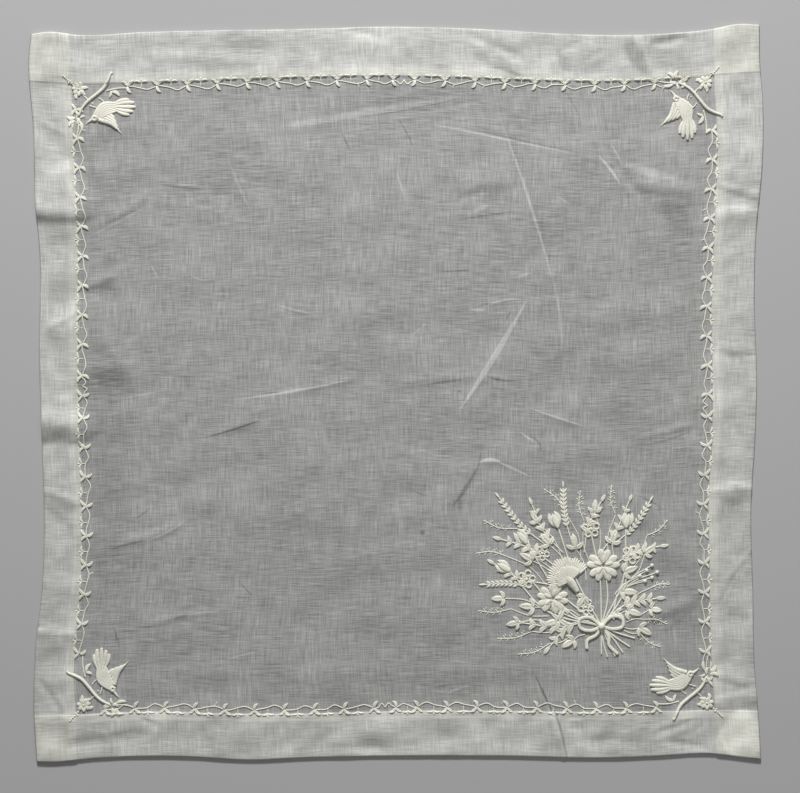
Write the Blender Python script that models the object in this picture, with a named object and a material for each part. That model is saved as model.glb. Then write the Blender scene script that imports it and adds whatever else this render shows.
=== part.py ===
"""An embroidered handkerchief: one square of fine white cloth with a wide hem, lying flat and softly creased.

The handkerchief lies in the XY plane with its underside on z = 0. Its top edge is towards +Y and its right
edge towards +X, and the origin is under its middle. The thread work on it is not part of this solid.
"""

import math
from collections import namedtuple

import bmesh
import bpy
import numpy as np
from mathutils import Vector, geometry

# Every size below is in millimetres, and MM turns it into metres
MM = 0.001

# How high a single layer lies, what each turned-over side adds, and how wide the step at its stitching is
CLOTH_HEIGHT = 1.4
HEM_HEIGHT = 0.4
HEM_STEP = 0.6

# Half of a square that holds the whole cloth
HALF_SPAN = 215.0

# How far apart the points stand along the sides and folds, and over the plain cloth between them
LINE_PITCH = 6.0
PLAIN_PITCH = 12.0
PLAIN_CLEARANCE = 5.0

# Points closer than this become one
MERGE = 0.02

# The turns it takes to find where two nearly square lines cross
CROSSING_TURNS = 10

# The part of a fold's length over which it dies away at each end, and how narrow it is there
FOLD_FADE = 0.3
FOLD_END_WIDTH = 0.35

# The angle past which an edge is drawn sharp, such as the cut edge and the step at the hem
SHARP_ANGLE = math.radians(30)

CLOTH_COLOUR = (0.76, 0.76, 0.72, 1.0)
CLOTH_ROUGHNESS = 0.9

# The four cut edges and the four stitching lines of the hem, as rows of (along, out): for an upright line y
# then x, for a level line x then y
LEFT_EDGE = (
    (-212, -206.4), (-180, -208.2), (-150, -207.4), (-112, -203.4), (-80, -202.3), (-28, -203.5),
    (20, -205.0), (80, -204.8), (111, -207.4), (150, -208.4), (192, -211.0), (212, -209.0),
)
RIGHT_EDGE = (
    (-212, 209.8), (-185, 208.2), (-155, 206.0), (-119, 205.3), (-62, 204.2), (-27, 206.4),
    (8, 207.4), (54, 206.0), (99, 207.5), (125, 210.2), (165, 211.0), (192, 209.0), (212, 208.8),
)
BOTTOM_EDGE = (
    (-210, -211.8), (-199, -212.2), (-170, -209.8), (-115, -209.3), (-88, -211.0), (-50, -209.6),
    (0, -208.7), (60, -208.7), (125, -209.8), (150, -208.8), (181, -207.4), (198, -209.3), (210, -210.6),
)
TOP_EDGE = (
    (-210, 206.2), (-201, 207.6), (-182, 205.8), (-145, 207.5), (-55, 209.3), (3, 210.6), (30, 210.0),
    (62, 208.5), (85, 207.0), (160, 207.0), (180, 209.0), (198, 212.2), (210, 211.6),
)
LEFT_STITCHING = (
    (-211, -183.4), (-185, -184.0), (-165, -185.3), (-136, -183.7), (-110, -181.4), (-62, -180.8),
    (-21, -182.3), (30, -183.1), (88, -183.1), (140, -185.3), (207, -188.0),
)
RIGHT_STITCHING = (
    (-209, 184.3), (-183, 183.4), (-142, 181.0), (-96, 180.4), (-60, 179.8), (-27, 182.0),
    (8, 182.1), (54, 181.7), (100, 183.5), (140, 185.0), (183, 183.1), (209, 182.9),
)
BOTTOM_STITCHING = (
    (-207, -185.4), (-183, -184.9), (-141, -183.2), (-88, -184.5), (-40, -184.0), (0, -182.7),
    (40, -182.2), (163, -182.0), (184, -182.9), (208, -183.4),
)
TOP_STITCHING = (
    (-209, 179.4), (-186, 177.9), (-150, 179.3), (-110, 180.2), (-85, 181.5), (-40, 182.4),
    (0, 183.0), (40, 182.0), (85, 180.3), (140, 180.6), (170, 183.0), (195, 185.2), (209, 185.4),
)

# The main folds, left in by pressing and wear. Each runs from (x0, y0) to (x1, y1), bowed to its left by bow
# at its middle, and rises to a crest between a foot on its left and a foot on its right
Fold = namedtuple("Fold", "place x0 y0 x1 y1 bow left right rise")
FOLDS = (
    Fold("long crease right of the middle", 57, 171, 101, 4, 4, 3.5, 3.5, 0.8),
    Fold("bright crease at the middle", 76, 57, 35, -19, -3, 3.5, 4, 1.3),
    Fold("level crease across it", -5, 6, 69, 9, 1, 5, 3, 0.8),
    Fold("short crease beside it", 49, 49, 72, 55, 1, 3, 3, 0.7),
    Fold("crease under the middle", -76, -3, -14, 11, 0, 3.5, 3.5, 0.6),
    Fold("crease left of the middle", -114, -26, -75, -15, 0, 4.5, 3, 0.8),
    Fold("slanting crease under the long one", 52, -5, 111, -19, 1, 4, 3, 0.6),
    Fold("crest above the large spray", 46, -42, 82, -48, 4, 7, 4, 1.2),
    Fold("flank of that crest", 49, -38, 28, -71, 0, 4, 9, 1.2),
    Fold("slanting crease at the upper right", 116, 142, 141, 107, 0, 5, 4, 1.0),
    Fold("swell at the upper right", 130, 120, 178, 116, 0, 9, 7, 1.0),
    Fold("crease below the upper hem", -79, 149, 50, 170, 0, 4, 7, 0.6),
    Fold("thin crease along the upper right", 6, 159, 176, 125, -2, 3, 3.5, 0.4),
    Fold("slanting crease at the upper left", -178, 92, -137, 120, -3, 5, 4, 0.7),
    Fold("level crease at the upper left", -139, 121, -108, 118, 0, 3, 3, 0.6),
    Fold("slope beside it", -97, 134, -83, 103, 1.5, 3, 3, 0.5),
    Fold("crease at the lower left", -161, -87, -117, -72, -2, 5, 3.5, 0.8),
    Fold("long crease at the lower left", -148, -135, -93, -127, 3, 4, 3, 0.6),
    Fold("swell beside the left hem, upper", -182, 59, -158, 69, 0, 6, 5, 0.8),
    Fold("swell beside the left hem, middle", -182, 14, -138, 18, 0, 10, 7, 1.1),
    Fold("ridge across the left hem, upper", -218, 105, -170, 104, 0, 9, 6, 1.0),
    Fold("ridge across the left hem, middle", -214, -20, -172, -27, 0, 9, 5, 0.9),
    Fold("ridge across the left hem, lower", -214, -137, -178, -137, 0, 6, 4, 0.5),
    Fold("crease across the lower hem", 79, -162, 101, -220, 2, 3, 6, 0.9),
    Fold("swell above the lower hem", -165, -158, 168, -158, 0, 10, 10, 0.6),
    Fold("swell beside the right hem, lower", 138, -133, 178, -116, 0, 9, 7, 1.0),
    Fold("crease beside the right hem", 139, -26, 176, -17, 0, 5, 4, 0.6),
    Fold("slanting crease across the upper hem", 133, 214, 150, 176, 0, 5, 5, 0.8),
    Fold("slanting crease across it, left", 47, 206, 74, 183, 0, 4, 4, 0.5),
    Fold("ridge across the right hem, upper", 180, 119, 215, 114, 0, 6, 5, 0.7),
    Fold("ridge across the right hem, middle", 179, -51, 214, -53, 0, 8, 4, 0.7),
)


def line_at(line, along):
    """How far out a side line lies at any distance along it, on a smooth curve through its rows."""
    at, out = np.array(line, float).T
    slope = np.gradient(out, at)
    row = np.clip(np.searchsorted(at, along) - 1, 0, len(at) - 2)
    gap = at[row + 1] - at[row]
    t = np.clip((along - at[row]) / gap, 0, 1)
    start = out[row] * (1 + 2 * t) * (1 - t) ** 2 + slope[row] * gap * t * (1 - t) ** 2
    end = out[row + 1] * t ** 2 * (3 - 2 * t) - slope[row + 1] * gap * t ** 2 * (1 - t)
    return start + end


def crossing(upright, level):
    """Where an upright line of the cloth meets a level one, closed in on by turns."""
    x, y = 0.0, 0.0
    for _ in range(CROSSING_TURNS):
        x = float(line_at(upright, y))
        y = float(line_at(level, x))
    return np.array((x, y))


def line_points(line, start, end, upright, shift=0.0):
    """Points along a side line from start to end, moved sideways by shift."""
    count = max(2, round(abs(end - start) / LINE_PITCH))
    along = np.linspace(start, end, count + 1)
    out = line_at(line, along) + shift
    return np.column_stack((out, along) if upright else (along, out))


def outline():
    """The edge of the cloth, once round from the lower left corner."""
    corners = [
        crossing(LEFT_EDGE, BOTTOM_EDGE), crossing(RIGHT_EDGE, BOTTOM_EDGE),
        crossing(RIGHT_EDGE, TOP_EDGE), crossing(LEFT_EDGE, TOP_EDGE),
    ]
    sides = []
    for index, line in enumerate((BOTTOM_EDGE, RIGHT_EDGE, TOP_EDGE, LEFT_EDGE)):
        upright = index % 2 == 1
        axis = 1 if upright else 0
        start, end = corners[index], corners[(index + 1) % 4]
        side = line_points(line, start[axis], end[axis], upright)
        side[0], side[-1] = start, end
        sides.append(side[:-1])
    return np.vstack(sides)


def stitching_lines():
    """Each stitching line as two rows of points, on either side of the step up to the hem."""
    lines = []
    for line, upright, ends in (
        (LEFT_STITCHING, True, (BOTTOM_EDGE, TOP_EDGE)),
        (RIGHT_STITCHING, True, (BOTTOM_EDGE, TOP_EDGE)),
        (BOTTOM_STITCHING, False, (LEFT_EDGE, RIGHT_EDGE)),
        (TOP_STITCHING, False, (LEFT_EDGE, RIGHT_EDGE)),
    ):
        if upright:
            start, end = [crossing(line, edge)[1] for edge in ends]
        else:
            start, end = [crossing(edge, line)[0] for edge in ends]
        overrun = math.copysign(HEM_STEP, end - start)
        for shift in (-HEM_STEP / 2, HEM_STEP / 2):
            lines.append(line_points(line, start - overrun, end + overrun, upright, shift))
    return lines


def fold_frame(fold):
    """A fold's length and the cosine and sine of its direction."""
    length = math.dist((fold.x0, fold.y0), (fold.x1, fold.y1))
    return length, (fold.x1 - fold.x0) / length, (fold.y1 - fold.y0) / length


def fold_fade(along):
    """How much of a fold there is at a share of its length: none at its ends, all of it between."""
    t = np.clip(np.minimum(along, 1 - along) / FOLD_FADE, 0, 1)
    return t * t * (3 - 2 * t)


def fold_lines(fold):
    """The crest, the flanks and the feet of a fold, as rows of points."""
    length, cos, sin = fold_frame(fold)
    along = np.linspace(0, 1, max(3, round(length / LINE_PITCH)) + 1)
    width = FOLD_END_WIDTH + (1 - FOLD_END_WIDTH) * fold_fade(along)
    lines = []
    for foot in (fold.left, fold.left / 2, 0, -fold.right / 2, -fold.right):
        aside = fold.bow * 4 * along * (1 - along) + foot * width
        x = fold.x0 + along * length * cos - aside * sin
        y = fold.y0 + along * length * sin + aside * cos
        lines.append(np.column_stack((x, y)))
    return lines


def fold_rise(fold, x, y):
    """How far one fold lifts the cloth at the points x, y."""
    length, cos, sin = fold_frame(fold)
    along = ((x - fold.x0) * cos + (y - fold.y0) * sin) / length
    aside = (y - fold.y0) * cos - (x - fold.x0) * sin - fold.bow * 4 * along * (1 - along)
    fade = fold_fade(along)
    width = FOLD_END_WIDTH + (1 - FOLD_END_WIDTH) * fade
    reach = np.where(aside > 0, fold.left, fold.right) * width
    return fold.rise * fade * np.cos(np.clip(aside / reach, -1, 1) * math.pi / 2) ** 2


def step_up(distance):
    """0 before a stitching line and 1 past it, with the step between."""
    return np.clip(distance / HEM_STEP + 0.5, 0, 1)


def height(x, y):
    """How high the top of the cloth lies at the points x, y."""
    turned = (
        step_up(line_at(LEFT_STITCHING, y) - x) + step_up(x - line_at(RIGHT_STITCHING, y))
        + step_up(line_at(BOTTOM_STITCHING, x) - y) + step_up(y - line_at(TOP_STITCHING, x))
    )
    rise = np.zeros_like(x)
    for fold in FOLDS:
        rise = np.maximum(rise, fold_rise(fold, x, y))
    return CLOTH_HEIGHT + HEM_HEIGHT * turned + rise


def within_edges(points, margin):
    """Which points lie on the cloth, at least margin from its edge."""
    x, y = points.T
    across = (x > line_at(LEFT_EDGE, y) + margin) & (x < line_at(RIGHT_EDGE, y) - margin)
    up = (y > line_at(BOTTOM_EDGE, x) + margin) & (y < line_at(TOP_EDGE, x) - margin)
    return across & up


def plain_points(taken):
    """Points over the plain cloth, in staggered rows, clear of those that are taken."""
    reach = math.ceil(HALF_SPAN / PLAIN_PITCH)
    grid = [
        ((column + 0.5 * (row % 2)) * PLAIN_PITCH, row * PLAIN_PITCH)
        for row in range(-reach, reach + 1)
        for column in range(-reach, reach + 1)
    ]
    points = np.array(grid)
    points = points[within_edges(points, PLAIN_CLEARANCE)]
    gap = np.linalg.norm(points[:, None] - taken[None], axis=2).min(axis=1)
    return points[gap > PLAIN_CLEARANCE]


def inside(edge, points):
    """Which points lie inside a closed outline, by how often a line to their right crosses it."""
    x0, y0 = edge.T
    x1, y1 = np.roll(edge, -1, axis=0).T
    x, y = points[:, 0, None], points[:, 1, None]
    spans = (y0 > y) != (y1 > y)
    rise = np.where(y1 == y0, 1.0, y1 - y0)
    return (spans & (x < x0 + (x1 - x0) * (y - y0) / rise)).sum(axis=1) % 2 == 1


def flat_pattern():
    """The cloth seen from above, as points and triangles with an edge along every side, step and fold."""
    edge = outline()
    points = [edge]
    links = [(index, (index + 1) % len(edge)) for index in range(len(edge))]
    count = len(edge)
    for chain in stitching_lines() + [line for fold in FOLDS for line in fold_lines(fold)]:
        points.append(chain)
        links += [(count + index, count + index + 1) for index in range(len(chain) - 1)]
        count += len(chain)
    points.append(plain_points(np.vstack(points)))
    every_triangle = 0
    corners = [Vector(point) for point in np.vstack(points)]
    flat = geometry.delaunay_2d_cdt(corners, links, [], every_triangle, MERGE, False)
    places = np.array([tuple(point) for point in flat[0]])
    triangles = np.array(flat[2])
    triangles = triangles[inside(edge, places[triangles].mean(axis=1))]
    used, triangles = np.unique(triangles, return_inverse=True)
    return places[used], triangles.reshape(-1, 3)


def close_underside(bm):
    """Drops a wall from the cloth's edge to z = 0 and closes it with one flat face."""
    rim = [edge for edge in bm.edges if edge.is_boundary]
    wall = bmesh.ops.extrude_edge_only(bm, edges=rim)["geom"]
    foot = [item for item in wall if isinstance(item, bmesh.types.BMVert)]
    for vert in foot:
        vert.co.z = 0.0
    bmesh.ops.contextual_create(bm, geom=[edge for edge in bm.edges if edge.is_boundary])
    bmesh.ops.recalc_face_normals(bm, faces=bm.faces)


def cloth_material():
    material = bpy.data.materials.new("white lawn")
    material.use_nodes = True
    shader = material.node_tree.nodes["Principled BSDF"]
    shader.inputs["Base Color"].default_value = CLOTH_COLOUR
    shader.inputs["Roughness"].default_value = CLOTH_ROUGHNESS
    shader.inputs["Metallic"].default_value = 0.0
    return material


def handkerchief_cloth():
    """The whole cloth with its hem, as one closed solid."""
    flat, triangles = flat_pattern()
    tops = height(flat[:, 0], flat[:, 1])
    mesh = bpy.data.meshes.new("handkerchief_cloth")
    mesh.from_pydata(np.column_stack((flat, tops)) * MM, [], triangles)
    bm = bmesh.new()
    bm.from_mesh(mesh)
    close_underside(bm)
    bm.to_mesh(mesh)
    bm.free()
    mesh.shade_smooth()
    mesh.set_sharp_from_angle(angle=SHARP_ANGLE)
    mesh.materials.append(cloth_material())
    return bpy.data.objects.new("handkerchief_cloth", mesh)


def main():
    for old in list(bpy.data.objects):
        bpy.data.objects.remove(old)
    collection = bpy.data.collections.new("Embroidered handkerchief")
    bpy.context.scene.collection.children.link(collection)
    collection.objects.link(handkerchief_cloth())


main()
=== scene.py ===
# %% [markdown]
# # An embroidered handkerchief
#
# A square of sheer white lawn, a fine cotton, lies flat. Its wide hem is turned to the back and shows
# through as whiter bands. A stitched vine runs beside the hem, a bird on a twig fills each corner, and a
# bouquet in raised white thread fills the lower right. Lengths here are in millimetres until a mesh is
# made.

import math
from collections import namedtuple
from functools import partial

import bpy
import numpy as np
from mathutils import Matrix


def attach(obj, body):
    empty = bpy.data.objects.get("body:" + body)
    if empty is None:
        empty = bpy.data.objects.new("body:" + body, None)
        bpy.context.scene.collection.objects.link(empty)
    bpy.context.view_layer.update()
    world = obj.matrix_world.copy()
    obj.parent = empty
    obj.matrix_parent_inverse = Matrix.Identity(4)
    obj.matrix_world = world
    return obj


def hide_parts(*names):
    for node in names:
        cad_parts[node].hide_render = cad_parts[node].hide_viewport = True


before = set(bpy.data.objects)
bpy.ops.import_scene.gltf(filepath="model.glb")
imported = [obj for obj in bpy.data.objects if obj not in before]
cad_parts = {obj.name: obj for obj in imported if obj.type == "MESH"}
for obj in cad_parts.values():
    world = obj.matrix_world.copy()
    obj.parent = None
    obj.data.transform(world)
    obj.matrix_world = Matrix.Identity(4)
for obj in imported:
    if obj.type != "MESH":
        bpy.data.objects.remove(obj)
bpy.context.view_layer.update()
MM = 0.001

# %% [markdown]
# ## Camera
#
# Flat textiles are photographed from straight above. A long lens keeps the sides parallel and still gives
# the other views a true perspective.

# %% The camera
LENS = 100.0
SENSOR = 36.0
VIEW_WIDTH = 460.0
VIEW_CENTRE = (2.3, -2.0)

camera = bpy.data.objects.new("camera", bpy.data.cameras.new("camera"))
camera.data.lens = LENS
camera.data.sensor_width = SENSOR
camera.location = (VIEW_CENTRE[0] * MM, VIEW_CENTRE[1] * MM, VIEW_WIDTH * LENS / SENSOR * MM)
bpy.context.scene.collection.objects.link(camera)
bpy.context.scene.camera = camera
print("camera height:", round(camera.location.z, 3), "m")

# %% [markdown]
# ## Shader sums
#
# Cloth and thread are mixed from many small patterns. A wrapped socket lets Python do the sums, so that `1
# - mask` or `warp * weft` adds the Math node it stands for, and one method adds every other kind of node.


# %% A socket that can be used in sums
class Shade:
    """A shader socket that can be used in sums. Each sum adds its Math node."""

    def __init__(self, tree, socket=None):
        self.tree = tree
        self.socket = socket

    def node(self, kind, settings, sockets, output=0):
        """A new node, with its settings made first and then its sockets set or linked."""
        made = self.tree.nodes.new(kind)
        for name, value in settings.items():
            if name == "stops":
                set_stops(made.color_ramp, value)
            else:
                setattr(made, name, value)
        for name, value in sockets.items():
            self.join(value, made.inputs[name])
        return Shade(self.tree, made.outputs[output])

    def join(self, value, socket):
        """Links a shade to a socket, or sets the socket to a plain value."""
        if isinstance(value, Shade):
            self.tree.links.new(value.socket, socket)
        else:
            socket.default_value = value.tolist() if isinstance(value, np.ndarray) else value

    def sum(self, operation, first, second):
        return self.node("ShaderNodeMath", {"operation": operation}, {0: first, 1: second})

    def vector(self, operation, *values, output=0):
        """A Vector Math node, which does three sums at once."""
        return self.node("ShaderNodeVectorMath", {"operation": operation}, dict(enumerate(values)), output)

    def axis(self, name):
        """One part of a vector: X, Y or Z."""
        return self.node("ShaderNodeSeparateXYZ", {}, {0: self}, output=name)

    def __add__(self, other):
        return self.sum("ADD", self, other)

    def __sub__(self, other):
        return self.sum("SUBTRACT", self, other)

    def __rsub__(self, other):
        return self.sum("SUBTRACT", other, self)

    def __mul__(self, other):
        return self.sum("MULTIPLY", self, other)

    __radd__ = __add__
    __rmul__ = __mul__


def set_stops(ramp, stops):
    """Gives a colour ramp these stops, each a place and a colour."""
    while len(ramp.elements) > 1:
        ramp.elements.remove(ramp.elements[0])
    ramp.elements[0].position = stops[0][0]
    ramp.elements[0].color = stops[0][1]
    for place, colour in stops[1:]:
        ramp.elements.new(place).color = colour


def new_finish(name, constants):
    """A material with its constant sockets set, its shader, and a shade to start sums from."""
    material = bpy.data.materials.new(name)
    material.use_nodes = True
    shader = material.node_tree.nodes["Principled BSDF"]
    for socket, value in constants.items():
        shader.inputs[socket].default_value = value
    return material, shader, Shade(material.node_tree)


# %% [markdown]
# ## Painted light and shade of the creases
#
# A pressed line in sheer cloth is almost flat, and its relief alone can't give the light and shade that the
# creases and folds show. So besides the folds further down, the cloth has a table of painted light and
# shade in its colour: painted highlights along lit flanks and pinched lines, and painted shade in grooves,
# valleys and beside the hem. The soft ones are worked out at the points of the sheet. The crisp ones are
# thinner than its grid, so they are worked out inside the finish, at every spot.

# %% The creases' painted light and shade
# Rows of where a crease starts and ends, how far it bows, half its width at its middle, how wide its soft
# sides are, and how much painted light it adds to the cloth, or painted shade where that is below nothing
CREASE_LIGHT_AND_SHADE = np.array((
    # The middle
    (57.2, 165, 92.9, 53.9, 1.6, 1.2, 0.9, 0.46), (91.8, 60.5, 95.7, 23.1, 0.6, 1.2, 0.8, 0.32),
    (77.2, 57.5, 33.8, -13.5, 1.3, 2.1, 0.9, 0.56), (-11.4, 2, 28.8, 2.6, 0.6, 1.9, 2, -0.264),
    (11.7, 4, 45.8, 9.2, -0.1, 1.1, 0.8, -0.328), (50.2, 10.3, 74.4, 7.3, -1.6, 0.9, 0.5, -0.448),
    (75, -7.9, 111.3, -20, -0.3, 0.9, 0.5, 0.592), (70.6, -21.6, 80.5, -28.8, -0.2, 0.7, 0.4, 0.592),
    (75.5, -23.8, 83.8, -34.3, 2.2, 0.8, 0.5, -0.352), (52.4, 50.7, 72.2, 54, 1, 0.7, 0.4, 0.52),
    (45.8, 49.9, 54.6, 51.3, 0.1, 0.7, 0.4, -0.392), (40.9, 48, 52.4, 47.7, -0.2, 1.2, 0.8, 0.384),
    (68.4, 67, 78.8, 69.2, -0.2, 1.2, 0.8, 0.448), (23.8, 69.6, 45.8, 70.9, -0.1, 0.7, 0.4, -0.392),
    (7.3, 31.7, 19.4, 41.6, 0, 0.8, 0.5, 0.256), (62.3, 40.5, 66.7, 48.2, 0, 0.7, 0.5, -0.288),
    # Above and beside the bouquet
    (46.4, -40.3, 61.2, -39.8, 1.6, 1.4, 0.6, 0.8), (55.7, -38.1, 78.8, -48.6, 0, 1, 0.5, 0.6),
    (20.7, -44.2, 52.4, -35.9, -0.7, 8.8, 8, 0.3), (48.6, -32.1, 43.6, -48.6, 1.5, 0.8, 0.5, -0.312),
    (46.4, -43.1, 31.5, -66.2, 0.9, 1.8, 1.2, -0.392), (23.1, -67.6, 51.2, -61.8, 1.7, 3.5, 4, -0.264),
    (7.8, -54.7, 19.5, -59.2, -0.8, 0.7, 0.5, -0.288), (12.5, -74.1, 27.8, -76.8, 0.2, 0.9, 0.6, 0.288),
    (19.5, -169.1, 33.6, -166.8, -0.3, 0.7, 0.5, -0.376), (27.8, -174.4, 44.2, -168.5, 1.8, 0.8, 0.5, 0.384),
    # The upper middle
    (28.2, 98, 76.6, 104.9, 0.7, 0.8, 0.5, -0.312), (41.4, 102.7, 54.6, 108.8, -0.1, 2.2, 1.5, 0.352),
    (2.2, 158.6, 118.8, 134, -0.1, 0.7, 0.5, 0.448), (24.2, 156.2, 115.5, 136.4, -0.7, 0.7, 0.5, -0.288),
    (-28.7, 157.7, 44, 171.4, -1.7, 0.7, 0.5, -0.312), (-28.7, 155.6, 61.6, 170.5, -2, 2.4, 2, 0.384),
    (-0.6, 160.6, 12.1, 135.3, 1, 0.7, 0.5, -0.328), (0, 128.7, 4.9, 111.1, 0.2, 0.8, 0.5, 0.416),
    (35.2, 121.5, 46.2, 124.5, 0.4, 0.9, 0.7, 0.256), (39.6, 115.5, 72.6, 119.9, -0.4, 6.1, 6, -0.288),
    # The upper right
    (114.8, 137.7, 129.9, 117.5, 1.1, 1.2, 0.8, 0.664), (122.1, 145, 130.4, 129.4, 0.6, 1, 0.8, 0.384),
    (127.6, 132.2, 163.4, 123, -0.6, 3.2, 1.6, 0.36), (126.7, 133.1, 147.8, 103.8, 0.9, 5, 5, -0.24),
    (135, 105.6, 179, 113.8, -3.2, 6, 6, -0.28), (91.4, 113.8, 101.5, 107.4, 0, 0.8, 0.7, 0.352),
    (95.5, 176.2, 107.5, 156, 0.1, 0.8, 0.7, -0.264), (129.5, 92.3, 149.6, 94.1, -0.3, 0.7, 0.5, -0.224),
    # The upper left
    (-177.7, 89.1, -142.5, 107.6, -0.2, 1.4, 1, 0.288), (-178.8, 93.5, -148, 105.6, -0.6, 2.2, 2, -0.248),
    (-138.1, 120.1, -107.3, 117.1, -0.6, 0.7, 0.5, -0.352),
    (-130.4, 120.3, -108.4, 118.8, -0.1, 0.7, 0.5, 0.256), (-96.3, 134.2, -81.5, 101.2, -0.7, 1.4, 1, 0.288),
    (-141.4, 74.8, -136.2, 64.9, 0, 0.7, 0.4, 0.384), (-118.3, 67.6, -110.1, 64.7, -0.2, 0.7, 0.4, 0.384),
    (-32, 151.8, -24.8, 136.4, -0.2, 0.8, 0.5, -0.312), (-115, 170.5, -102.9, 171, 0.9, 2.2, 2.5, -0.328),
    (-182.1, 145.2, -145.8, 149.6, 1.2, 6.1, 6, -0.2), (-181, 58.3, -156.8, 60.5, 0.7, 3.9, 4, -0.264),
    # The left and the lower left
    (-71, 51.9, -45.7, 45.6, -0.9, 0.8, 0.5, 0.352), (-65.5, 48.4, -46.8, 44.5, -0.6, 0.7, 0.5, -0.224),
    (-98.5, -4.3, -19.5, 9.2, -1.3, 0.9, 0.5, 0.552), (-79.8, -1.2, -64.4, 0.7, 0.2, 0.7, 0.4, -0.352),
    (-112.8, -26.3, -74.3, -14.2, -0.7, 0.9, 0.5, -0.504), (-180, 8.9, -152, 10.5, 0.3, 1.1, 1, -0.2),
    (-186, 5.1, -146, 7.3, 0.3, 4.5, 4.5, -0.2), (-160.1, -3.7, -132.6, 1.8, -0.1, 0.8, 0.5, 0.32),
    (-151.3, -72.6, -140.9, -65.4, -0.8, 1, 0.7, -0.312), (-164.5, -89.8, -141.4, -84.3, 0.3, 1, 0.7, -0.352),
    (-146.9, -85.8, -119.4, -72, -1.7, 1.1, 0.8, 0.416),
    (-127.1, -110, -102.9, -114.4, -0.3, 0.7, 0.5, -0.288),
    (-90.3, -108.3, -80.9, -118.2, 0, 0.7, 0.5, -0.352),
    (-130.4, -130.3, -117.2, -127, -0.1, 1.1, 0.8, -0.312),
    (-121.6, -127.9, -98.5, -125.9, 0.9, 0.7, 0.5, 0.32),
    (-155.7, -135.3, -128.2, -132.5, -0.2, 0.8, 0.6, -0.248),
    (-163.2, -131.4, -158.5, -147.9, 0.2, 0.8, 0.5, -0.288),
    (-100.7, -154, -69.9, -146.8, 0.6, 0.8, 0.6, 0.352),
    # The right and the lower right
    (139.2, -30, 171.3, -21.1, -1.5, 1, 1, -0.392), (149.3, -26.2, 169.6, -20.3, -0.9, 0.7, 0.8, 0.32),
    (135.4, -57.8, 155.7, -68.7, 1.3, 0.8, 0.8, -0.392), (171.3, -11, 178, -5.9, -0.5, 2.1, 3, -0.288),
    (142.6, -143, 176.3, -118.6, -1.8, 2.5, 4, -0.352), (122.4, -176.7, 146, -165.8, -1.1, 1.7, 2.5, -0.288),
    # Soft light and shade in the ground
    (60, 165, 97, 55, 0, 3, 3, -0.12), (-117, 118, -94, 106, 0, 1, 1.6, 0.18),
    (-121, 116, -114, 107, 0, 2.2, 2, 0.22), (-103, 101, -97, 111, 0, 2.2, 2, 0.22),
    (-172, 44, -158, 20, 0, 7, 5, 0.12), (150, 113, 173, 88, 0, 9, 6, -0.16),
    (60, 79, 130, 77, 0, 2.5, 3, -0.12), (62, 70, 120, 66, 0, 2, 3, 0.1),
    (-152, -53, -64, -54, 0, 1.6, 3, 0.12), (0, -57, 4, -83, 0, 3, 3, 0.2),
    (-64, -87, -41, -86, 0, 1.2, 2, 0.15), (2, -31, 32, -41, 0, 6, 6, 0.2),
    (94, 178, 131, 122, 0, 3, 4, 0.12),
    (105, 178, 138, 128, 0, 2, 3, -0.1), (-150, 144, 165, 146, 0, 20, 14, 0.07),
    (140, 150, 180, 142, 0, 14, 8, 0.15), (-168, 60, -168, -135, 0, 26, 24, -0.1),
    (-120, -70, 0, -85, 0, 26, 20, -0.06), (-180, -92, -112, -112, 0, 18, 12, -0.09),
    (50, 30, 165, 10, 0, 18, 14, -0.07), (120, -60, 165, -90, 0, 10, 10, -0.15),
    # The upper hem
    (-90, 202, -65, 183, 0, 1, 2, 0.16), (-34, 207, -8, 207, 0, 3, 2, 0.14),
    (-8, 203, -18, 187, 0, 1.5, 1.6, -0.16), (40, 197, 70, 184, 0, 4, 2.2, -0.22),
    (31, 207.5, 72, 189, 0, 2, 1.8, 0.14), (92, 198, 99, 183, 0, 3.6, 1.6, -0.26),
    (131, 206, 145, 181, 0, 5.5, 1.6, -0.24), (144, 201, 169, 205, 0, 2.6, 2, -0.34),
    (-100, 196, 134, 196, 0, 17, 12, 0.09), (138, 196, 174, 196, 0, 12, 6, -0.08),
    # The right hem
    (187, 116, 208, 115, 0, 2, 1.6, -0.3), (188, 107, 207, 106, 0, 2.6, 2, 0.28),
    (194, 186, 208, 163, 0, 1, 1.6, 0.18), (193, -50, 193, -106, 0, 12, 5, -0.05),
    (184, -51, 205, -51, 0, 1.6, 1.6, 0.12), (202, -96, 185, -128, 0, 1.3, 1.6, -0.24),
    (184, -90, 197, -102, 0, 1.2, 1.6, -0.2), (185, -150, 194, -159, 0, 2, 2, 0.16),
    (184, -197, 214, -197, 0, 17, 4, 0.32), (197, 172, 197, 118, 0, 12, 6, 0.09),
    (186, -36, 206, -36, 0, 7, 4, 0.24), (186, -94, 206, -94, 0, 5, 4, 0.14),
    (185, -61, 205, -60, 0, 6, 3, -0.14), (186, -184, 206, -184, 0, 6, 5, 0.16),
    (184, -131, 205, -128, 0, 6, 4, -0.2), (186, -56, 206, -56, 0, 4, 4, -0.12),
    (187, -149, 205, -147, 0, 6, 4, 0.12),
    # The left hem
    (-222, 100.5, -176, 99.5, 0, 7, 6, -0.4), (-232, -18, -180, -24, 0, 9, 7, -0.42),
    (-204, -62, -185, -78, 0, 3, 2, -0.16), (-202, -137, -190, -138, 0, 1.2, 1.6, 0.22),
    (-208, 131, -183, 130, 0, 8, 5, 0.28), (-206, 76, -183, 74, 0, 7, 4, -0.16),
    (-206, 0, -183, -2, 0, 6, 4, 0.32), (-206, -38, -183, -38, 0, 6, 5, -0.12),
    (-210, 192, -184, 192, 0, 17, 5, -0.12), (-208, -186, -186, -186, 0, 7, 5, 0.12),
    # The lower hem
    (88, -176, 99, -217, 2, 1.2, 0.8, -0.45), (79, -160, 92, -188, 0, 1.1, 0.8, -0.6),
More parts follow.
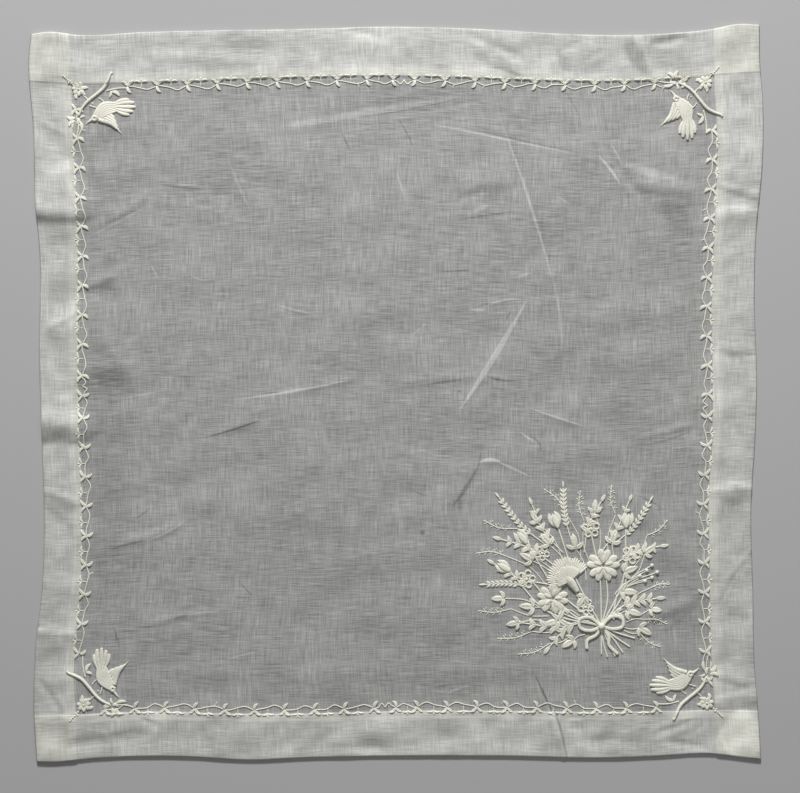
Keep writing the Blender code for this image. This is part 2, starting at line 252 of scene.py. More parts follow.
    (-147, -194, -130, -194, 0, 1.5, 1.6, 0.2), (-187, -191, -147, -191, 0, 2, 2, -0.14),
    (-151, -203, -138, -202, 0, 1.6, 1.6, 0.2), (93, -187, 109, -198, 0, 4, 3, 0.16),
    (118, -197, 136, -197, 0, 8, 6, 0.1),
    (152, -189, 173, -189, 0, 2, 1.6, 0.22), (149, -196, 170, -195, 0, 2, 2, -0.16),
    (169, -198, 182, -187, 0, 1.3, 1.6, 0.2), (-80, -197, 150, -197, 0, 18, 12, 0.1),
    (-20, -196, 15, -197, 0, 7, 6, 0.1), (-62, -196, -46, -196, 0, 8, 6, 0.1),
))
# Creases with narrower soft sides than this are crisp
CRISP_SIDES = 1.5
CRISP = CREASE_LIGHT_AND_SHADE[:, 6] < CRISP_SIDES
print(len(CREASE_LIGHT_AND_SHADE), "creases,", CRISP.sum(), "of them crisp")


# %% How the creases' painted light and shade change the cloth
def crease_lines(rows):
    """For creases, what each of x, y and 1 adds to a place's share along it and to its distance from it."""
    x0, y0, x1, y1 = rows.T[:4]
    length = np.hypot(x1 - x0, y1 - y0)
    cos, sin = (x1 - x0) / length, (y1 - y0) / length
    along = np.array((cos, sin, -x0 * cos - y0 * sin)) / length
    return along, np.array((-sin, cos, x0 * sin - y0 * cos))


def soft_crease_shading(x, y):
    """How much painted light or painted shade the soft creases add to the cloth at the points x, y."""
    total = np.zeros_like(x)
    for row in CREASE_LIGHT_AND_SHADE[~CRISP]:
        bow, half, soft, painted_light = row[4:]
        along, aside = (line[0] * x + line[1] * y + line[2] for line in crease_lines(row))
        middle = 4 * along * (1 - along)
        total += painted_light * np.clip((middle * half - np.abs(aside - bow * middle)) / soft, 0, 1)
    return total


def crisp_crease_shading(place):
    """The same for the crisp creases, inside a finish. Every vector here carries three of them."""
    rows = CREASE_LIGHT_AND_SHADE[CRISP]
    spare = -len(rows) % 3
    rows = np.vstack((rows, np.repeat(rows[-1:], spare, axis=0)))
    rows[len(rows) - spare:, -1] = 0
    x, y = (place.axis(name) * (1 / MM) for name in "XY")
    total = 0.0
    for three in rows.reshape(-1, 3, rows.shape[1]):
        bow, half, soft, painted_light = three.T[4:]
        along, aside = crease_lines(three)
        grow = np.sqrt(4 * half / soft)
        along, aside = along * grow, aside / soft
        share = place.vector("MULTIPLY_ADD", x, along[0], place.vector("MULTIPLY_ADD", y, along[1], along[2]))
        off = place.vector("MULTIPLY_ADD", x, aside[0], place.vector("MULTIPLY_ADD", y, aside[1], aside[2]))
        middle = place.vector("MULTIPLY", share, place.vector("SUBTRACT", grow, share))
        off = place.vector("ABSOLUTE", place.vector("MULTIPLY_ADD", middle, -bow / half, off))
        mask = place.vector("MAXIMUM", place.vector("SUBTRACT", middle, off), (0, 0, 0))
        mask = place.vector("MINIMUM", mask, (1, 1, 1))
        total = total + place.vector("DOT_PRODUCT", mask, painted_light, output="Value")
    return total


# %% [markdown]
# ## Lawn
#
# Lawn is woven from fine, slightly uneven threads. Thick and thin threads make faint streaks both ways, and
# the gaps between them let the floor show. Noise stretched along each thread direction makes the streaks,
# and they drive colour, sheerness and relief together. In some places the warp shows more and in others the
# weft, so a slow cloud of noise shares out their strengths. Where the hem lies under the face there is more
# thread to see, so the colour follows the number of layers. The painted light and shade of the creases is
# added to that colour.

# %% The threads of the weave
# How often a thread changes across it and along it, in changes a metre
THREAD_STREAK = (2000.0, 95.0)
SLUB_STREAK = (760.0, 36.0)
# The warp's strength beside the weft's, which make two together, and how far the cloud changes it
WARP_SHARE = 0.92
WARP_CHANGE = 1.8


def noise(base, place, scale, detail, roughness=0.5):
    """Noise over the flat cloth, from about -0.5 to 0.5."""
    sockets = {"Vector": place, "Scale": scale, "Detail": detail, "Roughness": roughness}
    return base.node("ShaderNodeTexNoise", {"noise_dimensions": "2D"}, sockets) - 0.5


def streaks(base, place, streak, seed, warp):
    """Uneven threads both ways: noise drawn out along the warp, as strong as warp says, and the weft."""
    across, along = streak
    upright, level = (
        noise(base, base.vector("MULTIPLY_ADD", place, scale, (seed, seed, seed)), 1.0, 2.0)
        for scale in ((across, along, 1), (along, across, 1))
    )
    return upright * warp + level * (2.0 - warp)


# %% Stains
# Where each is, how wide and how strong, and how high the cloth lies there
STAINS = ((15.2, -80.3, 1.9, 0.85), (36.5, 0.9, 1.1, 0.6))
STAIN_HEIGHT = 1.4
STAIN_COLOUR = (0.17, 0.115, 0.06, 1)
# How strong a stain would be at its middle, so that above one it has an even core
STAIN_CORE = 1.5


def stained(base, place, colour):
    """The colour with small brown stains in it."""
    for x, y, radius, strength in STAINS:
        off = base.vector("DISTANCE", place, (x * MM, y * MM, STAIN_HEIGHT * MM), output="Value")
        mask = base.sum("MINIMUM", STAIN_CORE - off * (STAIN_CORE / (radius * MM)), 1.0)
        mask = base.sum("MAXIMUM", mask, 0.0) * strength
        mixed = {"Factor": mask, 6: colour, 7: STAIN_COLOUR}
        colour = base.node("ShaderNodeMix", {"data_type": "RGBA"}, mixed, output=2)
    return colour


# %% The lawn's finish
CLOUD_SCALE = 26.0
CLOUD_ROUGHNESS = 0.62
WEAVE_PITCH = 0.00042
WEAVE_RELIEF = 0.25
# How white the cloth looks by how many layers lie at a place
LAYER_TONES = (
    (1, (0.385, 0.385, 0.375, 1)), (2, (0.575, 0.58, 0.55, 1)), (3, (0.68, 0.685, 0.64, 1)),
    (4, (0.66, 0.66, 0.60, 1)), (9, (0.73, 0.73, 0.66, 1)),
)
MOST_LAYERS = 9.0
# How much the threads, the slubs and the cloud change the tone, and the darkest that the painted crease shade
# may be
THREAD_TONE = 0.68
SLUB_TONE = 0.26
CLOUD_TONE = 0.5
DARKEST_PAINTED_SHADE = -0.6
# How much calmer each further layer makes the weave, down to the least
LAYER_CALM = 0.3
LEAST_UNEVEN = 0.5
# How much of the cloth covers what is under it, and how much the threads and the slubs change that
SHEER = 0.80
THREAD_SHEER = 0.16
SLUB_SHEER = 0.1


def lawn():
    """The sheer cloth."""
    material, shader, base = new_finish("white lawn", {"Roughness": 0.85, "Sheen Weight": 0.15})
    place = base.node("ShaderNodeUVMap", {"uv_map": "cloth"}, {})
    spot = base.node("ShaderNodeTexCoord", {}, {}, output="Object")
    layers = base.node("ShaderNodeAttribute", {"attribute_name": "layers"}, {}, output="Fac")
    creased = base.node("ShaderNodeAttribute", {"attribute_name": "creased"}, {}, output="Fac")
    cloud = noise(base, place, CLOUD_SCALE, 3.0, CLOUD_ROUGHNESS)
    warp = cloud * WARP_CHANGE + WARP_SHARE
    threads = streaks(base, place, THREAD_STREAK, 3.0, warp)
    slubs = streaks(base, place, SLUB_STREAK, 11.0, warp)
    stops = [((count - 1) / (MOST_LAYERS - 1), colour) for count, colour in LAYER_TONES]
    share = (layers - 1.0) * (1 / (MOST_LAYERS - 1))
    tone = base.node("ShaderNodeValToRGB", {"stops": stops}, {"Fac": share})
    # The painted light and shade of the creases: the soft ones from the sheet's points, the crisp ones worked
    # out here
    creased = base.sum("MAXIMUM", creased + crisp_crease_shading(spot), DARKEST_PAINTED_SHADE)
    calm = base.sum("MAXIMUM", (1 + LAYER_CALM) - layers * LAYER_CALM, LEAST_UNEVEN)
    uneven = 1.0 + (threads * THREAD_TONE + slubs * SLUB_TONE) * calm + cloud * CLOUD_TONE + creased
    mixed = {"Factor": 1.0, 6: tone, 7: uneven}
    colour = base.node("ShaderNodeMix", {"data_type": "RGBA", "blend_type": "MULTIPLY"}, mixed, output=2)
    base.join(stained(base, spot, colour), shader.inputs["Base Color"])
    base.join(SHEER + threads * THREAD_SHEER + slubs * SLUB_SHEER, shader.inputs["Alpha"])
    turns = [place.axis(name) * (2 * math.pi / WEAVE_PITCH) for name in "XY"]
    waves = [base.node("ShaderNodeMath", {"operation": "SINE"}, {0: turn}) for turn in turns]
    relief = waves[0] * waves[1] * WEAVE_RELIEF + threads
    bump = base.node("ShaderNodeBump", {}, {"Height": relief, "Strength": 0.5, "Distance": 0.0001})
    base.join(bump, shader.inputs["Normal"])
    return material


lawn_finish = lawn()
print("lawn:", len(lawn_finish.node_tree.nodes), "nodes")

# %% [markdown]
# ## Thread
#
# The stitches are soft, lightly twisted cotton, a little creamier than the cloth and with a faint sheen.
# The stitches themselves are modelled, so the finish only adds the fibre along them.

# %% The thread's finish
FIBRE_SCALE = 900.0
SOIL_SCALE = 60.0


def cotton():
    """The embroidery thread."""
    constants = {"Roughness": 0.62, "Sheen Weight": 0.2, "Specular IOR Level": 0.35}
    material, shader, base = new_finish("white embroidery cotton", constants)
    place = base.node("ShaderNodeTexCoord", {}, {}, output="Object")
    fibre = base.node("ShaderNodeTexNoise", {}, {"Vector": place, "Scale": FIBRE_SCALE, "Detail": 3.0})
    soil = base.node("ShaderNodeTexNoise", {}, {"Vector": place, "Scale": SOIL_SCALE, "Detail": 2.0})
    stops = [(0.25, (0.64, 0.63, 0.535, 1)), (0.75, (0.83, 0.82, 0.725, 1))]
    colour = base.node("ShaderNodeValToRGB", {"stops": stops}, {"Fac": fibre * 0.5 + soil * 0.5})
    base.join(colour, shader.inputs["Base Color"])
    bump = base.node("ShaderNodeBump", {}, {"Height": fibre, "Strength": 0.35, "Distance": 0.0001})
    base.join(bump, shader.inputs["Normal"])
    return material


cotton_finish = cotton()
print("cotton:", len(cotton_finish.node_tree.nodes), "nodes")

# %% [markdown]
# ## Sides
#
# No side of a worn handkerchief is straight. Each cut edge and each line of hem stitching is a short table
# of places, with a smooth curve through them. The edges are the solid's own, and the stitching stays within
# a millimetre or two of its step.

# %% The edges and the stitching lines
# Rows of (along, out): for an upright line y then x, for a level line x then y
LEFT_EDGE = (
    (-212, -206.4), (-180, -208.2), (-150, -207.4), (-112, -203.4), (-80, -202.3), (-28, -203.5),
    (20, -205.0), (80, -204.8), (111, -207.4), (150, -208.4), (192, -211.0), (212, -209.0),
)
RIGHT_EDGE = (
    (-212, 209.8), (-185, 208.2), (-155, 206.0), (-119, 205.3), (-62, 204.2), (-27, 206.4),
    (8, 207.4), (54, 206.0), (99, 207.5), (125, 210.2), (165, 211.0), (192, 209.0), (212, 208.8),
)
BOTTOM_EDGE = (
    (-210, -211.8), (-199, -212.2), (-170, -209.8), (-115, -209.3), (-88, -211.0), (-50, -209.6),
    (0, -208.7), (60, -208.7), (125, -209.8), (150, -208.8), (181, -207.4), (198, -209.3), (210, -210.6),
)
TOP_EDGE = (
    (-210, 206.2), (-201, 207.6), (-182, 205.8), (-145, 207.5), (-55, 209.3), (3, 210.6), (30, 210.0),
    (62, 208.5), (85, 207.0), (160, 207.0), (180, 209.0), (198, 212.2), (210, 211.6),
)
LEFT_STITCHING = (
    (-211, -183.4), (-185, -184.0), (-165, -185.3), (-136, -183.7), (-110, -181.4), (-62, -180.8),
    (-21, -182.3), (30, -183.1), (88, -183.1), (140, -185.3), (207, -188.0),
)
RIGHT_STITCHING = (
    (-209, 184.3), (-183, 183.4), (-142, 181.0), (-96, 180.4), (-60, 179.8), (-27, 182.0),
    (8, 182.1), (54, 181.7), (100, 183.5), (140, 185.0), (183, 183.1), (209, 182.9),
)
BOTTOM_STITCHING = (
    (-207, -185.4), (-183, -184.9), (-141, -183.2), (-88, -184.5), (-40, -184.0), (0, -182.9),
    (40, -182.6), (80, -183.0), (120, -183.5), (150, -183.0), (184, -182.2), (208, -182.8),
)
TOP_STITCHING = (
    (-209, 179.0), (-186, 177.6), (-146, 178.5), (-110, 179.4), (-85, 180.5), (-58, 181.2),
    (0, 182.2), (40, 181.2), (85, 179.5), (140, 179.4), (170, 181.4), (195, 183.7), (209, 184.2),
)
CROSSING_TURNS = 10


def line_at(line, along):
    """How far out a side line lies at any distance along it, on a smooth curve through its rows."""
    at, out = np.array(line, float).T
    slope = np.gradient(out, at)
    row = np.clip(np.searchsorted(at, along) - 1, 0, len(at) - 2)
    gap = at[row + 1] - at[row]
    t = np.clip((along - at[row]) / gap, 0, 1)
    start = out[row] * (1 + 2 * t) * (1 - t) ** 2 + slope[row] * gap * t * (1 - t) ** 2
    end = out[row + 1] * t ** 2 * (3 - 2 * t) - slope[row + 1] * gap * t ** 2 * (1 - t)
    return start + end


def crossing(upright, level):
    """Where an upright line of the cloth meets a level one, closed in on by turns."""
    x, y = 0.0, 0.0
    for _ in range(CROSSING_TURNS):
        x = float(line_at(upright, y))
        y = float(line_at(level, x))
    return complex(x, y)


print("upper left corner:", crossing(LEFT_EDGE, TOP_EDGE))

# %% [markdown]
# ## Folds
#
# Pressing and handling leave soft ridges and thin sharp creases. Each is a row: where it starts and ends,
# how far it bows, how wide each flank is and how high it stands. The first table has the folds of the
# solid, lower in the sheer ground, where a crease shows more by its painted light and shade, and higher
# across the hem. The second adds fine creases, too slight for a solid, and troughs, which have a rise below
# nothing. Thin cloth folds tighter than a solid can, so every fold here is made a quarter narrower and
# higher. Most are soft, but some have a sharp crest, and some end on their right in a sharp foot.

# %% The folds
Fold = namedtuple("Fold", "place x0 y0 x1 y1 bow left right rise edge", defaults=("soft",))
FOLDS = (
    Fold("long crease right of the middle", 57, 171, 101, 4, 4, 3.5, 3.5, 0.35),
    Fold("bright crease at the middle", 76, 58, 35, -15, 0, 4, 5, 0.45),
    Fold("level crease across it", -5, 6, 69, 9, 1, 5, 5, 0.35),
    Fold("short crease beside it", 49, 49, 72, 55, 1, 3, 3, 0.3),
    Fold("crease under the middle", -76, -3, -14, 11, 0, 4.5, 4.5, 0.4),
    Fold("crease left of the middle", -114, -26, -75, -15, 0, 6, 4, 0.4),
    Fold("slanting crease under the long one", 75, -8, 111, -20, 0, 4, 4, 0.35),
    Fold("crest above the large spray", 46, -40, 80, -48, 4, 9, 6, 0.35),
    Fold("flank of that crest", 49, -38, 28, -71, 0, 5, 9, 0.3),
    Fold("slanting crease at the upper right", 116, 142, 141, 107, 0, 5, 5, 0.5),
    Fold("swell at the upper right", 130, 120, 178, 116, 0, 9, 7, 0.7),
    Fold("crease below the upper hem", -79, 149, 50, 170, 0, 5, 9, 0.5),
    Fold("thin crease along the upper right", 6, 159, 176, 125, -2, 3, 3.5, 0.15),
    Fold("slanting crease at the upper left", -178, 92, -137, 120, -3, 6, 5, 0.5),
    Fold("level crease at the upper left", -139, 121, -108, 118, 0, 3, 3, 0.3),
    Fold("slope beside it", -97, 134, -83, 103, 1.5, 3, 3, 0.3),
    Fold("crease at the lower left", -161, -87, -117, -72, -2, 6, 5, 0.6),
    Fold("long crease at the lower left", -148, -135, -93, -127, 3, 4, 3, 0.4),
    Fold("swell beside the left hem, upper", -182, 59, -158, 69, 0, 6, 5, 0.6),
    Fold("swell beside the left hem, middle", -184, 13, -148, 16, 0, 10, 7, 0.7),
    Fold("ridge across the left hem, upper", -222, 107, -166, 104, 0, 26, 9.5, 1.8, "foot"),
    Fold("ridge across the left hem, middle", -222, -18, -166, -21, 0, 16, 12, 1.9, "foot"),
    Fold("ridge across the left hem, lower", -216, -136, -176, -139, 0, 6, 9, 0.9, "crest"),
    Fold("crease across the lower hem", 79, -162, 101, -220, 2, 3, 6, 0.9),
    Fold("swell above the lower hem", -165, -161, 168, -160, 0, 11, 11, 0.3),
    Fold("swell beside the right hem, lower", 138, -133, 178, -116, 0, 9, 7, 0.8),
    Fold("crease beside the right hem", 139, -26, 176, -17, 0, 5, 4, 0.5),
    Fold("slanting crease across the upper hem", 131, 215, 150, 177, 0, 4.5, 12, 1.4, "crest"),
    Fold("slanting crease across it, left", 47, 206, 74, 183, 0, 4, 4, 0.5),
    Fold("ridge across the right hem, upper", 182, 121, 214, 110, 0, 6, 5, 0.9, "crest"),
    Fold("ridge across the right hem, middle", 174, -57, 218, -52, 0, 5, 18, 0.9, "crest"),
)
FINE_CREASES = (
    Fold("groove along the upper right", 6, 159.5, 176, 125.5, -2, 2.6, 2.4, -0.3),
    Fold("trough below the upper hem", -77, 152.4, 50.6, 174.2, 0, 6, 2.5, -0.3),
    Fold("upper right, trough", 116, 141, 162, 92, 0, 11, 6, -0.6),
    Fold("above the long crease, trough", 30, 107, 57, 120, 0, 5, 5, -0.4),
    Fold("upper hem, first pair", 89.5, 195, 94.3, 181, 0, 3, 3, 0.5, "crest"),
    Fold("upper hem, second pair", 98.5, 198, 105, 180, 0, 3, 3, 0.6, "crest"),
    Fold("upper hem, near the corner", 149, 197, 171, 199, 0, 3, 3, 0.5),
    Fold("upper right corner", 195, 181, 204.7, 168.5, 0, 2, 2, 0.4),
    Fold("right hem, middle", 183.4, 27, 199.5, 24, 0, 6, 5, 0.5),
    Fold("right hem, lower", 183, -176.5, 200, -180, 0, 5, 3, 0.7),
    Fold("lower left corner", -195, -172, -191, -184, 0, 3, 3, 0.5),
    Fold("above the lower hem, groove", 79, -160, 92, -188, 0, 2.4, 2.4, -0.5),
    Fold("lower hem, deep groove", 88, -176, 99, -217, 2, 2.6, 2.4, -1.1),
    Fold("lower hem, right of the groove", 97, -189, 109, -189, 0, 4, 3, 0.5),
    Fold("lower hem, valley right of the groove", 97, -200.5, 144, -199.5, 0, 6, 7, -0.7),
    Fold("lower hem, fan, upper", 145, -198, 174, -187, 0, 4, 3, -0.8),
    Fold("lower hem, fan, lower", 148, -199, 187, -205, 0, 3, 4, -0.7),
    Fold("lower hem, valley at the left", -197, -204.5, -135, -195, 0, 8, 7, -0.9),
    Fold("lower hem, groove in that valley", -172, -189, -159, -200, 0, 2.4, 2.4, -0.5),
    Fold("lower hem, next to it", -148, -186.5, -133, -192.5, 0, 3, 3, -0.5),
    Fold("lower hem, near the edge", -44, -203, 2, -204.5, 0, 4, 5, -0.5),
    Fold("left hem, slanting", -186, 146, -208, 158, 0, 2.5, 2.5, 0.4),
    Fold("left hem, below the upper ridge", -180, 48, -203, 35, 0, 4, 6, 0.5, "crest"),
    Fold("left hem, below the middle ridge", -179, -64, -206, -54, 0, 14, 6, 0.8, "crest"),
    Fold("left hem, near the lower corner", -190, -187, -207, -162, 0, 4, 4, -0.6),
    Fold("right hem, corner", 193, 188, 203, 169, 0, 2.4, 2.4, 0.4),
    Fold("right hem, corner groove", 188, 187, 198, 164, 0, 2.4, 2.4, -0.4),
    Fold("right hem, broad swell", 176, 103, 216, 104, 0, 6, 14, 0.6),
    Fold("right hem, groove", 186, 20, 212, 22.5, 0, 2.4, 2.4, -0.5),
    Fold("right hem, zigzag", 210, -83, 184, -114, 0, 3, 3, 0.45),
    Fold("right hem, zigzag groove", 202, -94, 185, -123, 0, 2.6, 2.6, -0.5),
    Fold("right hem, lower swell", 179, -160, 206, -168, 0, 10, 5, 0.8),
    Fold("right hem, above the corner", 178, -178, 216, -170, 0, 5, 10, 1.0, "foot"),
    Fold("upper hem, left end", -160.5, 211, -155.5, 189, 0, 3.5, 3, 0.5, "crest"),
    Fold("upper hem, short slanting", -115, 209, -128, 199, 0, 2.4, 2.4, 0.4),
    Fold("upper hem, left swell", -150, 195, -78, 190, 0, 8, 7, 0.8),
    Fold("upper hem, left line", -68.5, 202, -62.5, 181, 0, 2.4, 2.4, 0.4),
    Fold("upper hem, wedge", -36, 211, -2, 201.5, 0, 5, 3, -0.6),
    Fold("upper hem, long groove", 34, 209, 79, 188, 0, 6, 3, -0.8),
    Fold("upper hem, below the groove", 48, 193, 76, 181, 0, 6, 3, 0.6, "crest"),
    Fold("upper hem, over the pairs", 87, 192, 107, 202, 0, 2.4, 2.4, -0.45),
    Fold("upper hem, dash", 106, 190, 121, 197, 0, 2.6, 2.6, -0.6),
    Fold("upper hem, notch", 92, 209, 104, 206.5, 0, 2.4, 2.4, -0.7),
    Fold("upper hem, pocket", 144, 200.5, 169, 205, 0, 4, 3, -1.2),
    Fold("upper hem, beside the pocket", 149, 203, 157.5, 184, 0, 3.5, 4, 0.5, "crest"),
)
# The share of its length over which a fold dies away, how narrow it is at its ends, and the quarter
FOLD_FADE = 0.3
FOLD_END_WIDTH = 0.35
FOLD_SHARPNESS = 1.25


def fold_rise(fold, x, y):
    """How far one fold lifts the cloth at the points x, y."""
    length = math.dist((fold.x0, fold.y0), (fold.x1, fold.y1))
    cos, sin = (fold.x1 - fold.x0) / length, (fold.y1 - fold.y0) / length
    along = ((x - fold.x0) * cos + (y - fold.y0) * sin) / length
    aside = (y - fold.y0) * cos - (x - fold.x0) * sin - fold.bow * 4 * along * (1 - along)
    t = np.clip(np.minimum(along, 1 - along) / FOLD_FADE, 0, 1)
    fade = t * t * (3 - 2 * t)
    width = (FOLD_END_WIDTH + (1 - FOLD_END_WIDTH) * fade) / FOLD_SHARPNESS
    reach = np.where(aside > 0, fold.left, fold.right) * width
    down = np.clip(np.abs(aside) / reach, 0, 1)
    flank = np.cos(down * math.pi / 2) ** 2
    if fold.edge == "crest":
        flank = (1 - down) ** 2
    if fold.edge == "foot":
        flank = np.where(aside > 0, flank, 1 - down ** 2)
    return fold.rise * FOLD_SHARPNESS * fade * flank


print(len(FOLDS), "folds and", len(FINE_CREASES), "fine creases")

# %% [markdown]
# ## How high the cloth lies
#
# The top of the cloth follows the solid: one height for the plain cloth, a step up where each side is
# turned under, and the folds. On top of that come the folded-in raw edge inside the hem, a bead where it
# turns at the seam, and slow waves of a few tenths of a millimetre, because washed lawn never lies dead
# flat. Where a trough would go through the floor, the cloth rests on it.

# %% The height of the cloth
# A single layer, what each turned-over side adds, and how wide the step at its stitching is
CLOTH_HEIGHT = 1.4
HEM_HEIGHT = 0.3
HEM_STEP = 0.6
# The bead along a seam: how far in it is, how high, and how many plies it looks like
BEAD = 1.3
BEAD_HEIGHT = 0.08
BEAD_PLIES = 1.6
# Over what distance the cloth rounds down to its folded edge, and the share of its height left there
EDGE_ROUND = 0.8
EDGE_PRESSED = 0.6
# How deep the raw edge is folded in, what it adds, and how softly its end shows through
RAW_EDGE = 4.6
RAW_EDGE_HEIGHT = 0.08
RAW_EDGE_FADE = 3.4
# The slow waves: how many, how long, how steep, how much more of them the hem has and from where, over what
# distance they die away at the edge
WAVES = 48
WAVE_LENGTH = (8.0, 34.0)
WAVE_SLOPE = 0.05
HEM_WAVES = 1.5
HEM_START = 180.0
HEM_GROW = 8.0
HEM_CALM = 7.0
# How close to the floor the face comes at a trough, and how softly it comes to rest
RESTING = 0.35
RESTING_SOFTNESS = 0.12

rng = np.random.default_rng(19)
wave_length = rng.uniform(*WAVE_LENGTH, WAVES)
wave_turn = rng.uniform(0, math.pi, WAVES)
wave_start = rng.uniform(0, 2 * math.pi, WAVES)


def step_up(distance):
    """0 before a line and 1 past it, with the step between."""
    return np.clip(distance / HEM_STEP + 0.5, 0, 1)


def sides_turned(x, y, fade=HEM_STEP):
    """For the upright and the level hems, how far each point is into the hem, its raw edge and its bead."""
    past = (
        np.maximum(line_at(LEFT_STITCHING, y) - x, x - line_at(RIGHT_STITCHING, y)),
        np.maximum(line_at(BOTTOM_STITCHING, x) - y, y - line_at(TOP_STITCHING, x)),
    )
    hem = [step_up(distance) for distance in past]
    raw = [step_up(distance) * np.clip((RAW_EDGE - distance) / fade + 0.5, 0, 1) for distance in past]
    bead = [np.exp(-((distance / BEAD - 1) ** 2)) * (1 - other) for distance, other in zip(past, hem[::-1])]
    return hem, raw, bead


def inside_edge(x, y):
    """How far each point is inside the nearest folded edge."""
    across = np.minimum(x - line_at(LEFT_EDGE, y), line_at(RIGHT_EDGE, y) - x)
    return np.minimum(across, np.minimum(y - line_at(BOTTOM_EDGE, x), line_at(TOP_EDGE, x) - y))


def slow_waves(x, y):
    """The slight unevenness of washed cloth."""
    height = np.zeros_like(x)
    for length, turn, start in zip(wave_length, wave_turn, wave_start):
        phase = (x * math.cos(turn) + y * math.sin(turn)) * 2 * math.pi / length
        height += length * np.sin(phase + start)
    in_hem = np.clip((np.maximum(np.abs(x), np.abs(y)) - HEM_START) / HEM_GROW, 0, 1)
    height *= (1 + HEM_WAVES * in_hem) * np.clip(inside_edge(x, y) / HEM_CALM, 0, 1)
    return height * WAVE_SLOPE * math.sqrt(2 / WAVES) / (2 * math.pi)


def cloth_top(x, y):
    """How high the top of the cloth lies at the points x, y."""
    hem, raw, bead = sides_turned(x, y)
    rise = np.zeros_like(x)
    fine = np.zeros_like(x)
    trough = np.zeros_like(x)
    for fold in FOLDS:
        rise = np.maximum(rise, fold_rise(fold, x, y))
    for fold in FINE_CREASES:
        lift = fold_rise(fold, x, y)
        fine = np.maximum(fine, lift)
        trough = np.minimum(trough, lift)
    turned = HEM_HEIGHT * sum(hem) + RAW_EDGE_HEIGHT * sum(raw) + BEAD_HEIGHT * sum(bead)
    share = np.clip(inside_edge(x, y) / EDGE_ROUND, 0, 1)
    pressed = EDGE_PRESSED + (1 - EDGE_PRESSED) * share * (2 - share)
    free = (CLOTH_HEIGHT + turned + rise + fine + trough + slow_waves(x, y)) * pressed
    return RESTING + np.logaddexp(0, (free - RESTING) / RESTING_SOFTNESS) * RESTING_SOFTNESS


print("plain cloth lies", round(float(cloth_top(np.array(0.0), np.array(0.0))), 2), "mm high at its middle")

# %% [markdown]
# ## The cloth and its hem
#
# A hem is part of its cloth, so the whole handkerchief is one sheet from raw edge to raw edge. Each side
# goes out to the fold, back underneath to the stitching, and in again over the last few millimetres. The
# sheet is a grid that follows the side lines. Each line of the grid is a mix of the four side lines that
# cross its direction, plus a shift, so one list of stations serves both across the cloth and up it.

# %% Stations across the cloth
LOW_EDGE, LOW_SEAM, HIGH_SEAM, HIGH_EDGE, SHIFT = np.eye(5)
# How wide the turns are at the folded edge and at the seam
FOLD_ROUND = 0.5
SEAM_ROUND = 0.4
STEP_HALF = HEM_STEP / 2
GROUND_CELLS = 234
# A layer's depth in the stack of an upright hem, and where a level hem then puts that stack: its start and
# whether it runs down or up. The whole stack, four plies and two raw edges, is 8 deep.
Layer = namedtuple("Layer", "depth start way")
FACE = Layer(0, 0, 1)
RAW = Layer(1, 3, 1)
UNDER = Layer(2, 8, -1)
OUTER_FOLD = Layer(1, 4, 0)
INNER_FOLD = Layer(1.5, 5.5, 0)
STACK = 8.0
STACK_FLOOR = 0.1
# Within a level hem an upright hem's stack is squeezed this much, and it opens this far outside it
SQUEEZE = 4.0
SQUEEZE_END = 20.0
HEM_RUNS = (
    (LOW_SEAM - RAW_EDGE * SHIFT, LOW_SEAM - SEAM_ROUND * SHIFT, 3, RAW),
    (LOW_SEAM, LOW_SEAM, 0, INNER_FOLD),
    (LOW_SEAM - SEAM_ROUND * SHIFT, LOW_EDGE + FOLD_ROUND * SHIFT, 6, UNDER),
    (LOW_EDGE, LOW_EDGE, 0, OUTER_FOLD),
    (LOW_EDGE + FOLD_ROUND * SHIFT, LOW_EDGE + FOLD_ROUND * SHIFT, 0, FACE),
    (LOW_EDGE + 2 * FOLD_ROUND * SHIFT, LOW_SEAM - (RAW_EDGE + STEP_HALF) * SHIFT, 11, FACE),
    (LOW_SEAM - (RAW_EDGE - STEP_HALF) * SHIFT, LOW_SEAM - HEM_STEP * SHIFT, 6, FACE),
    (LOW_SEAM - STEP_HALF * SHIFT, LOW_SEAM - STEP_HALF * SHIFT, 0, FACE),
    (LOW_SEAM + STEP_HALF * SHIFT, LOW_SEAM + STEP_HALF * SHIFT, 0, FACE),
)


def cloth_stations():
    """Every station between the raw edges: its shares of the side lines and a shift, and its layer."""
    places, layers = [], []
    for start, end, cells, layer in HEM_RUNS:
        places.extend(start + (end - start) * np.linspace(0, 1, cells + 1)[:, None])
        layers += [layer] * (cells + 1)
    mirrored = [place[[3, 2, 1, 0, 4]] * (1, 1, 1, 1, -1) for place in places[::-1]]
    start, end = LOW_SEAM + HEM_STEP * SHIFT, HIGH_SEAM - HEM_STEP * SHIFT
    ground = list(start + (end - start) * np.linspace(0, 1, GROUND_CELLS + 1)[:, None])
    return np.array(places + ground + mirrored), np.array(layers + [FACE] * len(ground) + layers[::-1], float)


stations, layers_of_stations = cloth_stations()
print("stations:", len(stations), "across and as many up")


# %% The grid of the cloth
def side_places(lines, along):
    """The four side lines of one direction at the points along, with ones for the shift."""
    return np.stack([line_at(line, along) for line in lines] + [np.ones_like(along)], axis=-1)


def cloth_grid():
    """Where every crossing of the cloth's two sets of stations lies, seen from above."""
    upright = (LEFT_EDGE, LEFT_STITCHING, RIGHT_STITCHING, RIGHT_EDGE)
    level = (BOTTOM_EDGE, BOTTOM_STITCHING, TOP_STITCHING, TOP_EDGE)
    x = np.zeros((len(stations), len(stations)))
    y = np.zeros_like(x)
    for _ in range(CROSSING_TURNS):
        x = (side_places(upright, y) * stations[None, :, :]).sum(-1)
        y = (side_places(level, x) * stations[:, None, :]).sum(-1)
    return x, y


